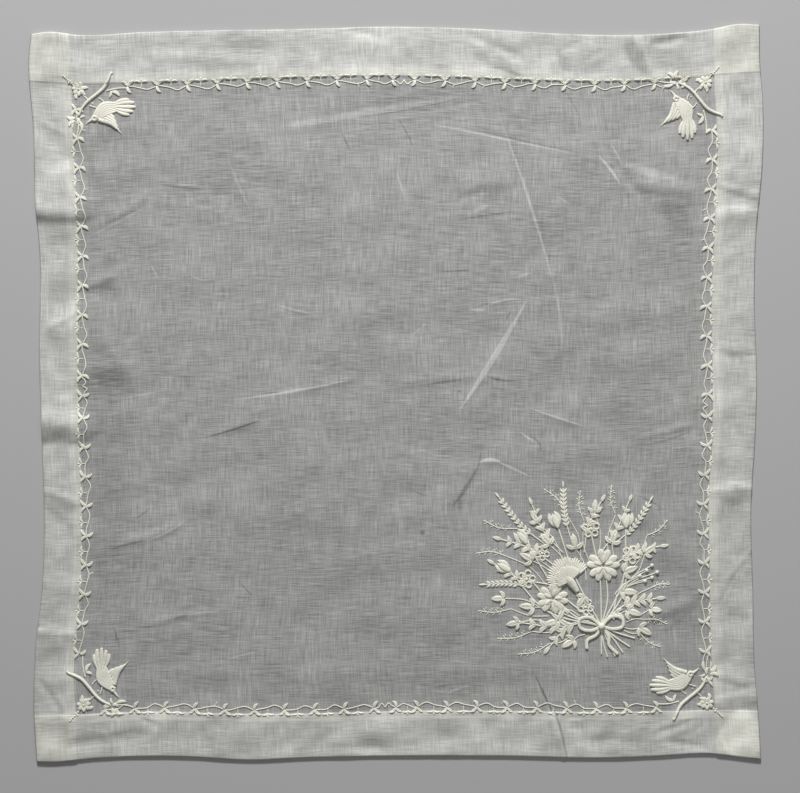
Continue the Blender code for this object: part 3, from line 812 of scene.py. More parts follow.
def stack_depth(y):
    """How deep in the hem's stack each point lies, from 0 on the face to the whole stack at the floor."""
    depth, start, way = layers_of_stations.T
    inner = np.minimum(y - line_at(BOTTOM_STITCHING, 0.0), line_at(TOP_STITCHING, 0.0) - y)
    clear = np.clip(inner / SQUEEZE_END, 0, 1)
    sideways = depth[None, :] * (1 + (SQUEEZE - 1) * clear)
    return np.clip(start[:, None] + way[:, None] * sideways, 0, STACK)


grid_x, grid_y = cloth_grid()
face_height = cloth_top(grid_x, grid_y)
grid_z = STACK_FLOOR + (face_height - STACK_FLOOR) * (1 - stack_depth(grid_y) / STACK)
print("heights:", round(grid_z.min(), 2), "to", round(grid_z.max(), 2), "mm")


# %% The sheet of cloth
def flat_length(places):
    """How far along the flat cloth each station lies."""
    return np.concatenate(([0], np.cumsum(np.abs(np.diff(places)))))


def layer_count(x, y):
    """How many plies of cloth lie over each other at each point, with the tight turn at the seam as more."""
    hem, raw, bead = sides_turned(x, y, RAW_EDGE_FADE)
    return (1 + hem[0] + raw[0]) * (1 + hem[1] + raw[1]) + BEAD_PLIES * (bead[0] + bead[1])


def mesh_object(name, points, faces, material):
    """A smooth mesh from points in millimetres."""
    mesh = bpy.data.meshes.new(name)
    mesh.from_pydata(points * MM, [], faces)
    mesh.shade_smooth()
    mesh.materials.append(material)
    made = bpy.data.objects.new(name, mesh)
    bpy.context.scene.collection.objects.link(made)
    return made


def grid_faces(rows, columns):
    """The four-cornered faces of a grid of points."""
    index = np.arange(rows * columns).reshape(rows, columns)
    return np.stack((index[:-1, :-1], index[:-1, 1:], index[1:, 1:], index[1:, :-1]), axis=-1).reshape(-1, 4)


flat_x = flat_length(grid_x[len(grid_x) // 2])
flat_y = flat_length(grid_y[:, len(grid_x[0]) // 2])
cloth_points = np.stack((grid_x, grid_y, grid_z), axis=-1).reshape(-1, 3)
cloth_faces = grid_faces(*grid_x.shape)
cloth = mesh_object("cloth", cloth_points, cloth_faces, lawn_finish)
# The sheet carries its count of layers and the painted light and shade of its soft creases
for name, values in (("layers", layer_count(grid_x, grid_y)), ("creased", soft_crease_shading(grid_x, grid_y))):
    cloth.data.attributes.new(name, "FLOAT", "POINT").data.foreach_set("value", values.ravel())
uv_places = np.stack(np.meshgrid(flat_x, flat_y), axis=-1).reshape(-1, 2) * MM
cloth.data.uv_layers.new(name="cloth").data.foreach_set("uv", uv_places[cloth_faces.ravel()].ravel())

# %% [markdown]
# ## Raised stitches
#
# Whitework is satin stitch over padding. Threads lie side by side across a shape, over a soft core, so
# every leaf and petal is a small ribbed cushion. One function makes them all: a spine, a width along it and
# a height. Each stitch is two rows of points, a crest and a valley. Places are complex numbers, so that
# turning and mirroring a motif is one multiplication.

# %% One padded form
# How much of a spine one stitch takes, and one slanting stem stitch
STITCH = 0.5
STEM_PITCH = 0.9
# How high a form's edges lie on the cloth, and the share of its height that it loses between two stitches
BEDDING = -0.06
RIB = 0.2
# Where the points across a form are, how flat its top is, and how wide the furrow down its middle
ACROSS = np.array((1.0, 0.86, 0.46, 0.0, -0.46, -0.86, -1.0))
DOME = 3.2
FURROW_WIDTH = 0.25
SPINE_POINTS = 40
# How wide each shape is at even shares of its length
SHAPES = {
    "leaf": (0.4, 0.82, 1.0, 0.92, 0.62, 0.08),
    "petal": (0.35, 0.72, 1.0, 0.95, 0.42),
    "feather": (0.6, 0.9, 1.0, 1.0, 0.85, 0.3),
    "lobe": (0.5, 0.72, 0.95, 1.0, 0.55),
    "body": (0.5, 0.95, 1.0, 0.92, 0.7, 0.45),
    "bead": (0.35, 0.9, 1.0, 0.9, 0.35),
    "spike": (1.0, 0.75, 0.45, 0.12),
    "stem": (1.0, 1.0),
    "twig": (0.6, 0.95, 1.0, 0.95, 0.85, 0.65),
}


def smooth(rows, share):
    """A smooth curve through rows that stand at even shares of its length."""
    rows = np.asarray(rows)
    slope = np.gradient(rows)
    place = np.clip(share, 0, 1) * (len(rows) - 1)
    row = np.minimum(place.astype(int), len(rows) - 2)
    t = place - row
    start = rows[row] * (1 + 2 * t) * (1 - t) ** 2 + slope[row] * t * (1 - t) ** 2
    return start + rows[row + 1] * t ** 2 * (3 - 2 * t) - slope[row + 1] * t ** 2 * (1 - t)


class Needlework:
    """Gathers raised stitches, placed from its middle, and makes them one mesh that lies on the cloth."""

    def __init__(self, middle=0):
        self.middle = middle
        self.places = []
        self.heights = []
        self.faces = []
        self.count = 0

    def add_grid(self, place, height):
        """Adds a grid of places and heights, with a strip below that closes it."""
        middle_row = len(place) // 2
        sideways = place[middle_row, -1] - place[middle_row, 0]
        onward = place[middle_row + 1, 3] - place[middle_row - 1, 3]
        if (sideways.conjugate() * onward).imag < 0:
            place, height = place[:, ::-1], height[:, ::-1]
        rows, columns = place.shape
        left = np.arange(rows - 1) * columns
        right = left + columns - 1
        below = np.stack((left, left + columns, right + columns, right), axis=-1)
        self.faces.append(np.vstack((grid_faces(rows, columns), below)) + self.count)
        self.places.append(place.ravel())
        self.heights.append(height.ravel())
        self.count += place.size

    def satin(self, spine, width, rise, shape="leaf", furrow=0.0, lean=0.0, pitch=STITCH, lift=0.0):
        """One padded form along a spine. Its shape gives its width, and its lift what lies under it."""
        fine = np.linspace(0, 1, SPINE_POINTS)
        line = smooth(spine, fine)
        walked = np.concatenate(([0], np.cumsum(np.abs(np.diff(line)))))
        count = max(3, round(walked[-1] / pitch))
        share = np.linspace(0, 1, 2 * count + 1)[:, None]
        bent = share + lean * (1 - np.abs(ACROSS)) * 4 * share * (1 - share)
        place = np.interp(bent * walked[-1], walked, fine)
        step = 0.5 / SPINE_POINTS
        heading = smooth(spine, np.minimum(place + step, 1)) - smooth(spine, np.maximum(place - step, 0))
        heading = heading / np.abs(heading)
        uneven = 1 + rng.uniform(-0.05, 0.05, (len(share), 1))
        wide = width * smooth(SHAPES[shape], bent) * uneven
        flat = smooth(spine, place) + 1j * heading * wide * ACROSS
        dome = (1 - np.abs(ACROSS) ** DOME) ** 0.5 * (1 - furrow * np.exp(-(ACROSS / FURROW_WIDTH) ** 2))
        crest = np.ones_like(share)
        crest[::2] = 1 - RIB
        height = lift + rise * dome * crest * np.clip(wide / width, 0, 1) ** 0.5
        height[:, [0, -1]] = BEDDING
        height[[0, -1]] = BEDDING
        self.add_grid(flat, height)

    def stem(self, spine, width):
        """A row of slanting stem stitches, one after the other along a line."""
        self.satin(spine, width, width * 1.45, "stem", pitch=STEM_PITCH)

    def knot(self, place, radius, lift=0.0):
        """A French knot: thread wound round the needle and pulled down."""
        turn = radius * np.exp(1j * rng.uniform(0, math.pi))
        spine = [place - turn, place, place + turn]
        self.satin(spine, radius, radius * 1.2, "bead", pitch=radius * 0.6, lift=lift)

    def eyelet(self, place, radius, width):
        """A ring of close stitches."""
        turns = np.exp(2j * math.pi * np.linspace(0, 1, 9))
        self.satin(place + radius * turns, width, width * 1.3, "stem")

    def piece(self, name):
        """The finished mesh, laid on the cloth."""
        place = np.concatenate(self.places) + self.middle
        height = np.concatenate(self.heights) + cloth_top(place.real, place.imag)
        points = np.column_stack((place.real, place.imag, height))
        faces = np.vstack(self.faces)
        print(name, "has", 2 * len(faces), "triangles")
        return mesh_object(name, points, faces, cotton_finish)


def bowed(start, end, bow):
    """A spine from start to end, bowed to its left by a share of its length."""
    return [start, (start + end) / 2 + 1j * (end - start) * bow, end]


print(len(SHAPES), "shapes of padded form:", ", ".join(SHAPES))

# %% [markdown]
# ## The vine
#
# A thin stem waves along the inside of the hem. At every joint three padded leaves spread, one into the
# cloth and two towards the hem, and halfway to the next joint a sprig with two small leaves reaches over
# the hem. The vine grows from every corner towards the middle of each side, so each side is drawn as two
# halves that mirror.

# %% The sides that carry a vine
# centre is where a side's two vines meet, clockwise of its middle. first is from there to the nearest
# joints, second to the next joints on the side before and the side after, pitch to the others, and inset is
# how far the joints are from the seam.
Side = namedtuple("Side", "name seam upright sign inset centre first second_before second_after pitch")
SIDES = (
    Side("top", TOP_STITCHING, False, 1, 2.2, 4.6, 6.3, 15.0, 17.3, 17.2),
    Side("right", RIGHT_STITCHING, True, 1, 3.3, 7.2, 6.6, 16.5, 16.5, 16.9),
    Side("bottom", BOTTOM_STITCHING, False, -1, 2.3, 6.3, 6.3, 12.3, 17.25, 17.2),
    Side("left", LEFT_STITCHING, True, -1, 2.8, 4.0, 6.0, 12.5, 18.0, 16.9),
)
JOINT_PITCH = 17.0
JOINTS = 10


def beside(side, along, inward):
    """A place beside a side's stitching, so far clockwise from its middle and inward from its joints."""
    run = along * side.sign if not side.upright else -along * side.sign
    out = line_at(side.seam, run) - side.sign * (side.inset + inward)
    return out + 1j * run if side.upright else run + 1j * out


print("a joint on the top side:", beside(SIDES[0], 0.0, 0.0))

# %% The vine's leaves and stems
# Places are (onward along the vine, inward from the hem) from a joint
Leaf = namedtuple("Leaf", "name root tip bow width rise")
JOINT_LEAVES = (
    Leaf("into the cloth", -0.2 + 0.1j, 2.3 + 3.8j, 0.14, 0.98, 1.0),
    Leaf("back to the hem", 0.2 - 0.1j, -3.2 - 2.7j, 0.10, 0.82, 0.9),
    Leaf("onward to the hem", -0.2 + 0.1j, 4.2 - 3.1j, -0.10, 0.92, 0.95),
)
SPRIG_LEAVES = (
    Leaf("onward", 7.7 - 1.9j, 11.6 - 2.5j, -0.14, 0.64, 0.55),
    Leaf("back", 7.7 - 1.9j, 3.9 - 2.6j, 0.14, 0.64, 0.55),
)
STEM_LINES = (
    (0.0, 3.4 + 0.6j, 7.6 + 1.4j, 11.4 + 2.6j, 14.6 + 1.6j, 17.0),
    (0.0, 3.2 + 0.1j, 7.6 + 1.2j, 11.4 + 2.0j, 14.4 + 1.1j, 17.0),
    (0.0, 3.6 - 0.1j, 7.6 + 0.3j, 11.2 + 2.2j, 14.6 + 1.4j, 17.0),
)
SPRIG_LINE = (7.6 + 0.8j, 7.8 - 0.6j, 7.7 - 2.2j)
SPRIG_TIP = (7.7 - 2.2j, 7.6 - 3.2j, 7.9 - 4.3j)
TENDRIL = (11.4 + 2.2j, 12.4 + 3.2j, 12.7 + 4.4j)
# How wide the stem is, and what share of that a sprig and a tendril are
STEM_WIDTH = 0.34
SPRIG_WIDTH = 0.7
TENDRIL_WIDTH = 0.8
# A span shorter than this share of the pitch has no sprig, and this share of the others has a tendril
SPRIG_SPAN = 0.6
TENDRILS = 0.3
# How far off its place a hand puts a point
LOOSE = 0.22

vine_leaves = Needlework()
vine_stems = Needlework()


def drawn(side, joint, way, points, stretch=1.0):
    """Vine places turned into places on the cloth, each a little off, as a hand puts them."""
    points = np.array(points, complex)
    loose = rng.normal(0, LOOSE / 2, (2, len(points)))
    return beside(side, joint + way * (points.real * stretch + loose[0]), points.imag + loose[1])


def vine_joint(side, joint, way):
    """The three leaves at a joint."""
    for leaf in JOINT_LEAVES:
        spine = drawn(side, joint, way, bowed(leaf.root, leaf.tip, leaf.bow))
        vine_leaves.satin(spine, leaf.width, leaf.rise, furrow=0.45, lean=0.06)


def vine_span(side, joint, way, length):
    """The stem from one joint on to the next, with its sprig."""
    stretch = length / JOINT_PITCH
    line = STEM_LINES[rng.integers(len(STEM_LINES))]
    vine_stems.stem(drawn(side, joint, way, line, stretch), STEM_WIDTH)
    if length < JOINT_PITCH * SPRIG_SPAN:
        return
    vine_stems.stem(drawn(side, joint, way, SPRIG_LINE, stretch), STEM_WIDTH * SPRIG_WIDTH)
    vine_stems.satin(drawn(side, joint, way, SPRIG_TIP, stretch), 0.45, 0.35, "lobe")
    for leaf in SPRIG_LEAVES:
        spine = drawn(side, joint, way, bowed(leaf.root, leaf.tip, leaf.bow), stretch)
        vine_leaves.satin(spine, leaf.width, leaf.rise)
    if rng.random() < TENDRILS:
        vine_stems.stem(drawn(side, joint, way, TENDRIL, stretch), STEM_WIDTH * TENDRIL_WIDTH)


for side in SIDES:
    for way, second in ((1, side.second_before), (-1, side.second_after)):
        gaps = [side.first, second] + [side.pitch] * (JOINTS - 2)
        reach = np.cumsum(gaps)
        for number, distance in enumerate(reach):
            joint = side.centre - way * distance
            vine_joint(side, joint, way)
            vine_span(side, joint, way, gaps[number])
print("points in the vine:", vine_leaves.count + vine_stems.count)

# %% [markdown]
# ## The corner twigs
#
# Each corner has the same picture turned by a quarter: a stout twig across the corner, a small flower
# between it and the hem's corner, a few leaves where it ends, and a bird leaning down from it with its tail
# spread and one wing open. Places are in millimetres from the crossing of the two lines of stitching: first
# along the side that follows clockwise, then inward.

# %% The twig, its flower and its leaves
Form = namedtuple("Form", "shape x0 y0 x1 y1 bow width rise")
TWIG_LINE = ((23.2, -6.2), (21.6, -2.2), (19.1, 2.2), (14.6, 6.2), (10.1, 9.8), (6.8, 13.6), (4.6, 18.2))
TWIG_WIDTH = 1.0
TWIG_STEMS = (
    Form("stem", 20.2, 4.2, 32.8, 2.5, 0.05, 0.38, 0.5),
    Form("stem", 4.6, 21.0, 2.8, 33.2, 0.05, 0.38, 0.5),
    Form("stem", 10.4, 9.6, 6.2, 5.0, 0.05, 0.4, 0.5),
    Form("stem", 24.0, -6.5, 22.8, -5.5, 0.0, 0.75, 0.9),
    Form("stem", 3.4, 2.4, -0.4, -0.6, 0.0, 0.4, 0.5),
)
TWIG_LEAVES = (
    Form("leaf", 2.6, 19.4, -2.3, 18.6, 0.25, 1.2, 1.0),
    Form("leaf", 4.6, 18.7, 1.7, 15.3, -0.1, 0.9, 0.8),
    Form("leaf", 2.4, 21.4, -0.9, 25.2, -0.2, 1.15, 1.0),
    Form("leaf", 5.4, 21.6, 6.4, 27.9, 0.1, 1.0, 1.0),
    Form("leaf", 4.4, 19.6, 3.4, 23.4, 0.2, 1.0, 0.9),
    Form("leaf", 5.2, 19.8, 8.6, 18.8, 0.15, 0.75, 0.7),
    Form("leaf", 23.2, 4.2, 21.9, 8.2, 0.1, 0.85, 0.9),
    Form("leaf", 23.4, 4.5, 28.3, 7.4, 0.15, 1.1, 1.0),
    Form("leaf", 5.8, 3.2, 10.3, 2.3, 0.1, 1.1, 0.9),
    Form("leaf", 4.9, 5.0, 8.6, 6.6, 0.1, 1.0, 0.9),
    Form("leaf", 2.8, 5.4, 3.6, 8.9, -0.1, 1.15, 0.9),
)
FLOWER_CENTRE = (4.4, 3.1)
FLOWER_PETALS = 7
FLOWER_SIZE = 4.0
HEM_KNOTS = (
    (0.4, -0.2), (-0.7, -1.0), (-1.7, -1.9), (-2.6, -2.9), (-3.5, -3.7), (-4.4, -4.4), (-0.2, -1.4),
    (-1.2, -0.3),
)

# %% The bird
def fan(shape, first, last, count):
    """Strands spread evenly from the first to the last."""
    return [Form(shape, *row) for row in np.linspace(first, last, count)]


BODY_STRANDS = fan(
    "body", (12.9, 19.0, 27.4, 11.2, 0.22, 1.25, 1.05), (15.8, 20.6, 27.2, 15.4, 0.05, 1.25, 1.05), 6
)
BIRD_FORMS = (
    Form("lobe", 24.4, 11.6, 33.4, 8.9, 0.06, 1.2, 0.9),
    Form("lobe", 25.0, 14.8, 33.8, 18.0, -0.06, 1.2, 0.9),
    Form("lobe", 24.6, 12.4, 36.5, 10.8, 0.05, 1.3, 1.05),
    Form("lobe", 24.8, 14.0, 36.0, 16.0, -0.04, 1.3, 1.05),
    Form("lobe", 24.4, 13.2, 37.3, 13.4, 0.0, 1.3, 1.15),
    *BODY_STRANDS,
    Form("feather", 21.8, 17.2, 25.2, 20.4, 0.04, 1.1, 1.0),
    Form("feather", 20.0, 18.2, 26.3, 22.6, 0.05, 1.15, 1.1),
    Form("feather", 18.4, 19.2, 27.2, 25.0, 0.06, 1.2, 1.2),
    Form("feather", 17.0, 20.2, 27.8, 26.8, 0.07, 1.2, 1.25),
    Form("spike", 15.9, 20.6, 29.5, 28.8, 0.08, 1.35, 1.3),
    Form("spike", 12.9, 20.2, 8.8, 23.3, -0.04, 1.1, 1.1),
)
BIRD_LEGS = (
    Form("stem", 14.8, 13.6, 11.4, 12.6, 0.1, 0.35, 0.6),
    Form("stem", 19.4, 11.8, 17.0, 8.6, -0.1, 0.35, 0.6),
)
TOES = ((11.2, 12.8), (12.6, 11.4), (16.6, 8.4))
EYE = (13.7, 19.9)
HEAD_RADIUS = 1.1
HEAD_WIDTH = 0.9

# %% The four corners
corner_work = Needlework()
Corner = namedtuple("Corner", "name place turn")
CORNERS = (
    Corner("upper left", crossing(LEFT_STITCHING, TOP_STITCHING), 1),
    Corner("upper right", crossing(RIGHT_STITCHING, TOP_STITCHING) - 2.3, -1j),
    Corner("lower right", crossing(RIGHT_STITCHING, BOTTOM_STITCHING) - 0.5 + 1.0j, -1),
    Corner("lower left", crossing(LEFT_STITCHING, BOTTOM_STITCHING) + 1.5 + 1.3j, 1j),
)


def in_corner(corner, along, inward):
    """A place in a corner picture, as a place on the cloth."""
    return corner.place + corner.turn * (along - 1j * inward)


def sew_forms(work, forms, placed, furrow=0.0):
    """Sews rows of forms, with placed turning each (x, y) into a place on the cloth."""
    for form in forms:
        start, end = placed(form.x0, form.y0), placed(form.x1, form.y1)
        spine = bowed(start, end, form.bow)
        pitch = STEM_PITCH if form.shape == "stem" else STITCH
        work.satin(spine, form.width, form.rise, form.shape, furrow, pitch=pitch)


for corner in CORNERS:
    placed = partial(in_corner, corner)
    corner_work.satin([placed(*point) for point in TWIG_LINE], TWIG_WIDTH, 1.25, "twig")
    sew_forms(corner_work, TWIG_STEMS, placed)
    sew_forms(corner_work, TWIG_LEAVES, placed, furrow=0.35)
    centre = placed(*FLOWER_CENTRE)
    for petal in range(FLOWER_PETALS):
        out = np.exp(2j * math.pi * (petal + 0.3) / FLOWER_PETALS)
        petal_spine = [centre + out * share * FLOWER_SIZE for share in (0.1, 0.5, 1)]
        corner_work.satin(petal_spine, FLOWER_SIZE * 0.3, 1.1, "petal", furrow=0.3)
    corner_work.knot(centre, 0.7, lift=0.5)
    for knot in HEM_KNOTS:
        corner_work.knot(placed(*knot), 0.5)
    sew_forms(corner_work, BIRD_LEGS, placed)
    sew_forms(corner_work, BIRD_FORMS, placed)
    for toe in TOES:
        corner_work.knot(placed(*toe), 0.5)
    corner_work.eyelet(placed(*EYE), HEAD_RADIUS, HEAD_WIDTH)
print("points in the corners:", corner_work.count)

# %% [markdown]
# ## The bouquet
#
# The large spray in the lower right is a hand-tied bouquet in the same raised white thread: a carnation and
# two primroses, small eyelet flowers, tulip buds, wheat ears, berries and leaves, with a ribbon round the
# stems. Each kind of flower is a function of its place, its turn and its size.

# %% Kinds of flower
BOUQUET_MIDDLE = 100 - 104j
bouquet_flowers = Needlework(BOUQUET_MIDDLE)
bouquet_leaves = Needlework(BOUQUET_MIDDLE)


def ray(turn, degrees=0.0):
    """A direction, turned on by some degrees."""
    return turn * np.exp(1j * math.radians(degrees))


def straight(place, direction, start, end):
    """A straight spine out from a place."""
    return [place + direction * reach for reach in (start, (start + end) / 2, end)]


def on_stem(spine, share, ahead=0.04):
    """The place at a share of a stem, and the direction in which the stem goes on from there."""
    place = smooth(spine, np.array(share))
    onward = smooth(spine, np.array(share + ahead)) - place
    return place, onward / abs(onward)


def primrose(place, turn, size):
    """Five petals with a notch, round an eyelet."""
    for petal in range(5):
        out = ray(turn, petal * 72 + rng.uniform(-4, 4))
        for half in (-15, 15):
            spine = straight(place, ray(out, half), size * 0.18, size)
            bouquet_flowers.satin(spine, size * 0.24, 1.3, "petal", 0.2)
        spine = straight(place, out, size * 0.15, size * 0.62)
        bouquet_flowers.satin(spine, size * 0.12, 0.4, "petal", lift=0.9)
    bouquet_flowers.eyelet(place, size * 0.15, 0.45)


def eyelet_flower(place, turn, size):
    """A small flower of five rings round a knot."""
    for petal in range(5):
        out = ray(turn, petal * 72)
        bouquet_flowers.eyelet(place + out * size * 0.62, size * 0.3, size * 0.11)
    bouquet_flowers.knot(place, size * 0.2)


def carnation(place, turn, size):
    """Two tiers of petals with notched ends, fanned above a cup."""
    for spread, reach, lift in ((25, 1.0, 0.0), (23, 0.64, 0.7)):
        for petal in range(-3, 4):
            end = size * reach * (1 - 0.03 * abs(petal))
            for strand in (-9, -3, 3, 9):
                out = ray(turn, petal * spread + strand)
                spine = straight(place, out, end * 0.2, end * (1 - 0.008 * abs(strand)))
                bouquet_flowers.satin(spine, end * 0.062, 1.1, "lobe", lift=lift)
    bouquet_leaves.satin(straight(place, turn, -size * 0.5, size * 0.2), size * 0.17, 1.7, "lobe", lift=0.4)


def tulip(place, turn, size):
    """A closed bud of three petals."""
    for way in (-1, 1):
        spine = [place, place + ray(turn, way * 24) * size * 0.55, place + ray(turn, way * 10) * size]
        bouquet_flowers.satin(spine, size * 0.2, 1.1, "leaf", 0.25)
    spine = straight(place, turn, -size * 0.05, size * 0.88)
    bouquet_flowers.satin(spine, size * 0.2, 0.9, "leaf", 0.25, lift=0.6)


def wheat(start, end, bow, grains):
    """An ear of paired grains along a stem."""
    spine = np.array(bowed(start, end, bow))
    bouquet_leaves.stem(spine, 0.4)
    for grain in range(grains):
        root, heading = on_stem(spine, 0.3 + 0.66 * grain / grains, ahead=0.05)
        for turned in (-32, 32):
            bouquet_leaves.satin(straight(root, ray(heading, turned), 0.3, 3.4), 0.72, 0.8, "leaf", 0.3)
    bouquet_leaves.satin(straight(end, heading, -0.5, 3.6), 0.7, 0.8, "leaf")


def leafy_stem(start, end, bow, pairs, size):
    """A stem with leaves to both sides, smaller towards its tip."""
    spine = np.array(bowed(start, end, bow))
    bouquet_leaves.stem(spine, 0.42)
    for pair in range(pairs):
        share = 0.36 + 0.6 * pair / pairs
        root, heading = on_stem(spine, share)
        reach = size * (1.1 - 0.5 * share)
        for way in (-1, 1):
            tip = root + ray(heading, way * rng.uniform(38, 56)) * reach
            bouquet_leaves.satin(bowed(root, tip, -0.14 * way), reach * 0.25, 1.1, "leaf", 0.6, lean=0.08)
    bouquet_leaves.satin(straight(end, heading, -0.4, size * 0.75), size * 0.18, 1.0, "leaf", 0.6)


def ivy(place, turn, size):
    """A leaf of three lobes, each split by its vein."""
    for lobe, reach in ((-62, 0.66), (62, 0.66), (0, 1.0)):
        spine = bowed(place, place + ray(turn, lobe) * size * reach, lobe * 0.002)
        bouquet_leaves.satin(spine, size * reach * 0.25, 1.3, "leaf", 0.6, lean=0.08)


def feathery(start, end, bow, pairs):
    """A fine stem with fine twigs to both sides."""
    spine = np.array(bowed(start, end, bow))
    bouquet_leaves.stem(spine, 0.3)
    for twig in range(2 * pairs):
        root, heading = on_stem(spine, 0.2 + 0.75 * twig / (2 * pairs))
        out = ray(heading, 48 if twig % 2 else -48)
        bouquet_leaves.stem(straight(root, out, 0, 2.4), 0.24)
        bouquet_leaves.satin(straight(root, ray(out, -40), 1.2, 2.6), 0.3, 0.4, "lobe")


def berries(start, ends):
    """Berries on short stems from one point."""
    for end in ends:
        bouquet_leaves.stem(bowed(start, end, 0.08), 0.32)
        bouquet_flowers.knot(end, 1.15)


# %% The flowers in their places
# Places are in millimetres from the bouquet's middle
TIE = 18 - 30j
STEM_ENDS = (21.5 - 48j, 26 - 47.5j, 30.5 - 45.5j, 34.5 - 42j, 37.5 - 37j, 18 - 46.5j)
FLOWER_STEMS = (
    (0 - 4j, 0.06), (20 + 2j, -0.08), (-10 - 12j, 0.1), (-23 - 3j, 0.12), (12 + 24j, -0.04),
    (33 + 10j, -0.12), (-25 + 18j, 0.08), (-7 + 27j, 0.04), (-35 + 2j, 0.14), (32 + 27j, -0.1),
    (27 - 12j, -0.1),
)
WHEAT_EARS = (
    (-13 + 16j, -41 + 44j, 0.06, 9), (1 + 18j, -4 + 50j, 0.05, 9), (24 + 16j, 46 + 42j, -0.07, 8),
    (-22 - 8j, -49 - 6j, -0.06, 7),
)
LEAFY_STEMS = (
    (14 - 24j, -28 - 28j, 0.1, 4, 7.5), (12 - 26j, -12 - 42j, -0.12, 3, 7.0),
    (22 - 24j, 50 - 14j, 0.1, 4, 7.0), (-8 + 4j, -40 + 20j, -0.08, 4, 6.5),
    (8 + 12j, 18 + 42j, 0.08, 4, 6.0), (24 + 4j, 52 + 16j, 0.1, 4, 6.5),
    (-4 + 12j, -22 + 40j, 0.08, 4, 6.0), (16 + 10j, 34 + 42j, -0.05, 4, 5.5),
    (-12 - 6j, -44 + 6j, 0.08, 4, 6.0),
)
IVY_LEAVES = (
    (-7 - 27j, 195, 8.5), (-21 - 19j, 175, 8.5), (-22 + 8j, 150, 8.0), (-12 + 17j, 128, 8.0),
    (3 + 15j, 100, 8.5), (24 + 18j, 72, 8.5), (31 + 1j, 22, 8.5), (30 - 10j, -4, 9.0),
    (33 - 21j, -18, 8.5), (2 - 38j, 212, 8.0), (40 - 31j, -30, 8.0), (-38 - 14j, 182, 7.5),
    (43 + 12j, 35, 7.5), (14 + 36j, 86, 7.0), (-19 + 30j, 122, 7.0), (8 - 13j, 236, 7.5),
    (26 - 22j, -40, 7.0), (-30 - 28j, 190, 7.0), (46 - 20j, -8, 7.0), (-4 - 20j, 250, 7.0),
)
FEATHERY_TWIGS = (
    (-12 - 40j, -30 - 46j, 0.1, 4), (-30 + 26j, -50 + 31j, 0.1, 4), (-2 + 34j, -15 + 49j, -0.1, 4),
    (26 + 34j, 24 + 51j, 0.1, 4), (44 + 22j, 56 + 31j, -0.1, 3), (46 - 8j, 57 - 6j, 0.1, 3),
    (-34 - 20j, -53 - 21j, 0.08, 4), (42 - 26j, 56 - 29j, 0.1, 3), (-22 - 33j, -42 - 37j, 0.08, 4),
    (8 + 30j, 6 + 48j, 0.1, 4), (40 - 34j, 52 - 42j, -0.1, 3), (-36 + 10j, -54 + 12j, -0.1, 4),
)
BERRY_PLACES = (44 + 2j, 47 - 2j, 43 - 4j, 47 + 5j, 40 - 1j, 50 + 1j)
RIBBON_LOOPS = (
    (18 - 30j, 11.5 - 25j, 5.5 - 26j, 6 - 31j, 12 - 32.5j, 18 - 30j),
    (18 - 30j, 23.5 - 24.5j, 29.5 - 25j, 30 - 30j, 24.5 - 31.5j, 18 - 30j),
    (18 - 30j, 15 - 35j, 10 - 38j, 9.5 - 43j),
    (18 - 30j, 22 - 36j, 22.5 - 41j, 27.5 - 46j),
)
RIBBON_WIDTH = 1.0
# Where a leaf's or a twig's own stem leaves the bunch, as a share of its way to the tie
TWIG_ROOT = 0.42
FLOWERS = (
    (tulip, -25 + 18j, 9.5), (tulip, -7 + 27j, 9.5), (tulip, -35 + 2j, 9.0), (tulip, 32 + 27j, 9.0),
    (eyelet_flower, -25 - 3j, 5.5), (eyelet_flower, 12 + 26j, 5.5), (eyelet_flower, 35 + 11j, 5.5),
    (eyelet_flower, 9 - 19j, 5.0), (eyelet_flower, -16 + 12j, 4.5),
    (primrose, 19 + 5j, 9.5), (primrose, -10 - 14j, 9.0), (carnation, 0 - 4j, 15.0),
)


def from_tie(place):
    """The direction a flower faces: away from where the stems are tied."""
    return (place - TIE) / abs(place - TIE)


for end in STEM_ENDS:
    bouquet_leaves.stem(bowed(TIE, end, rng.uniform(-0.05, 0.05)), 0.5)
for end, bow in FLOWER_STEMS:
    bouquet_leaves.stem(bowed(TIE, end, bow), 0.48)
for row in LEAFY_STEMS:
    leafy_stem(*row)
for row in WHEAT_EARS:
    wheat(*row)
for start, end, bow, pairs in FEATHERY_TWIGS:
    bouquet_leaves.stem(bowed(start + (TIE - start) * TWIG_ROOT, start, bow), 0.3)
    feathery(start, end, bow, pairs)
for place, degrees, size in IVY_LEAVES:
    root = place + (TIE - place) * TWIG_ROOT
    bouquet_leaves.stem(bowed(root, place, rng.choice((-0.1, 0.1))), 0.32)
    ivy(place, ray(1, degrees), size)
for kind, place, size in FLOWERS:
    kind(place, from_tie(place), size)
berries(27 - 12j, BERRY_PLACES)
for loop in RIBBON_LOOPS:
    bouquet_flowers.satin(loop, RIBBON_WIDTH, 0.7, "stem", 0.2, lift=0.5)
bouquet_flowers.knot(TIE, 2.1, lift=0.6)
print("points in the bouquet:", bouquet_flowers.count + bouquet_leaves.count)

# %% [markdown]
# ## The pieces
#
# So far the needlework is only places and heights. Now each kind becomes one mesh, and the height of the
# cloth is added at every point, so that the thread follows the folds. A few large pieces are easier to
# handle than many small ones.

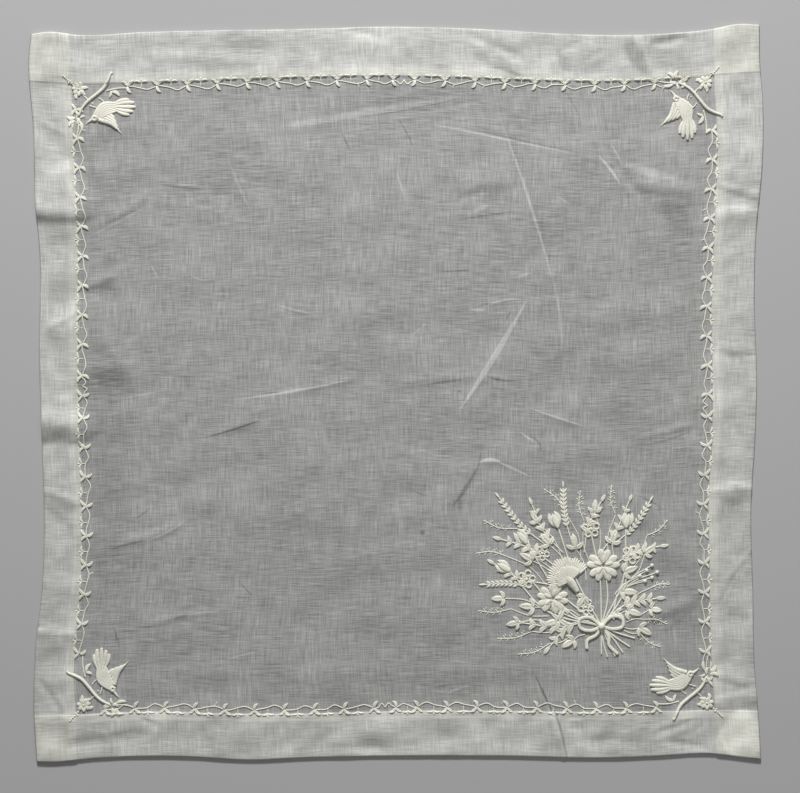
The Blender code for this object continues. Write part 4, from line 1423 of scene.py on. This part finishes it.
# %% The pieces of needlework
NEEDLEWORK = (
    ("vine_leaves", vine_leaves), ("vine_stems", vine_stems), ("corner_birds", corner_work),
    ("bouquet_flowers", bouquet_flowers), ("bouquet_leaves", bouquet_leaves),
)

needlework = [work.piece(name) for name, work in NEEDLEWORK]

# %% [markdown]
# ## Floor and light
#
# The floor is plain and pale. One soft lamp stands low beyond the top side, a little to the left, so that
# every ridge and stitch casts a short shadow downward. A wide, weaker lamp and an even sky fill the rest.

# %% The floor
FLOOR_SIZE = 6.0
FLOOR_COLOUR = (0.40, 0.40, 0.40, 1)

floor_finish, floor_shader, _ = new_finish("plain floor", {"Base Color": FLOOR_COLOUR, "Roughness": 0.9})
floor_corners = np.array([(-1, -1, 0), (1, -1, 0), (1, 1, 0), (-1, 1, 0)]) * FLOOR_SIZE / 2 / MM
floor = mesh_object("floor", floor_corners, [(0, 1, 2, 3)], floor_finish)

# %% The lamps
Lamp = namedtuple("Lamp", "name place size power")
LAMPS = (
    Lamp("key lamp", (-0.14, 1.87, 1.15), 0.34, 62.5),
    Lamp("fill lamp", (0.5, 0.1, 1.4), 1.0, 3.2),
)
SKY = 0.125

for lamp in LAMPS:
    light = bpy.data.lights.new(lamp.name, "AREA")
    light.shape = "DISK"
    light.size = lamp.size
    light.energy = lamp.power
    holder = bpy.data.objects.new(lamp.name, light)
    holder.location = lamp.place
    holder.rotation_euler = (-holder.location).to_track_quat("-Z", "Y").to_euler()
    bpy.context.scene.collection.objects.link(holder)
world = bpy.data.worlds.new("sky")
world.use_nodes = True
world.node_tree.nodes["Background"].inputs["Color"].default_value = (1, 1, 1, 1)
world.node_tree.nodes["Background"].inputs["Strength"].default_value = SKY
bpy.context.scene.world = world
bpy.context.scene.view_settings.view_transform = "Standard"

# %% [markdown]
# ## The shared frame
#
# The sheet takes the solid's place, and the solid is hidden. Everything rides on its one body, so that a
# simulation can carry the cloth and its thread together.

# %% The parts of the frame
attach(cloth, "root")
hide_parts("handkerchief_cloth")
for piece in needlework:
    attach(piece, "root")
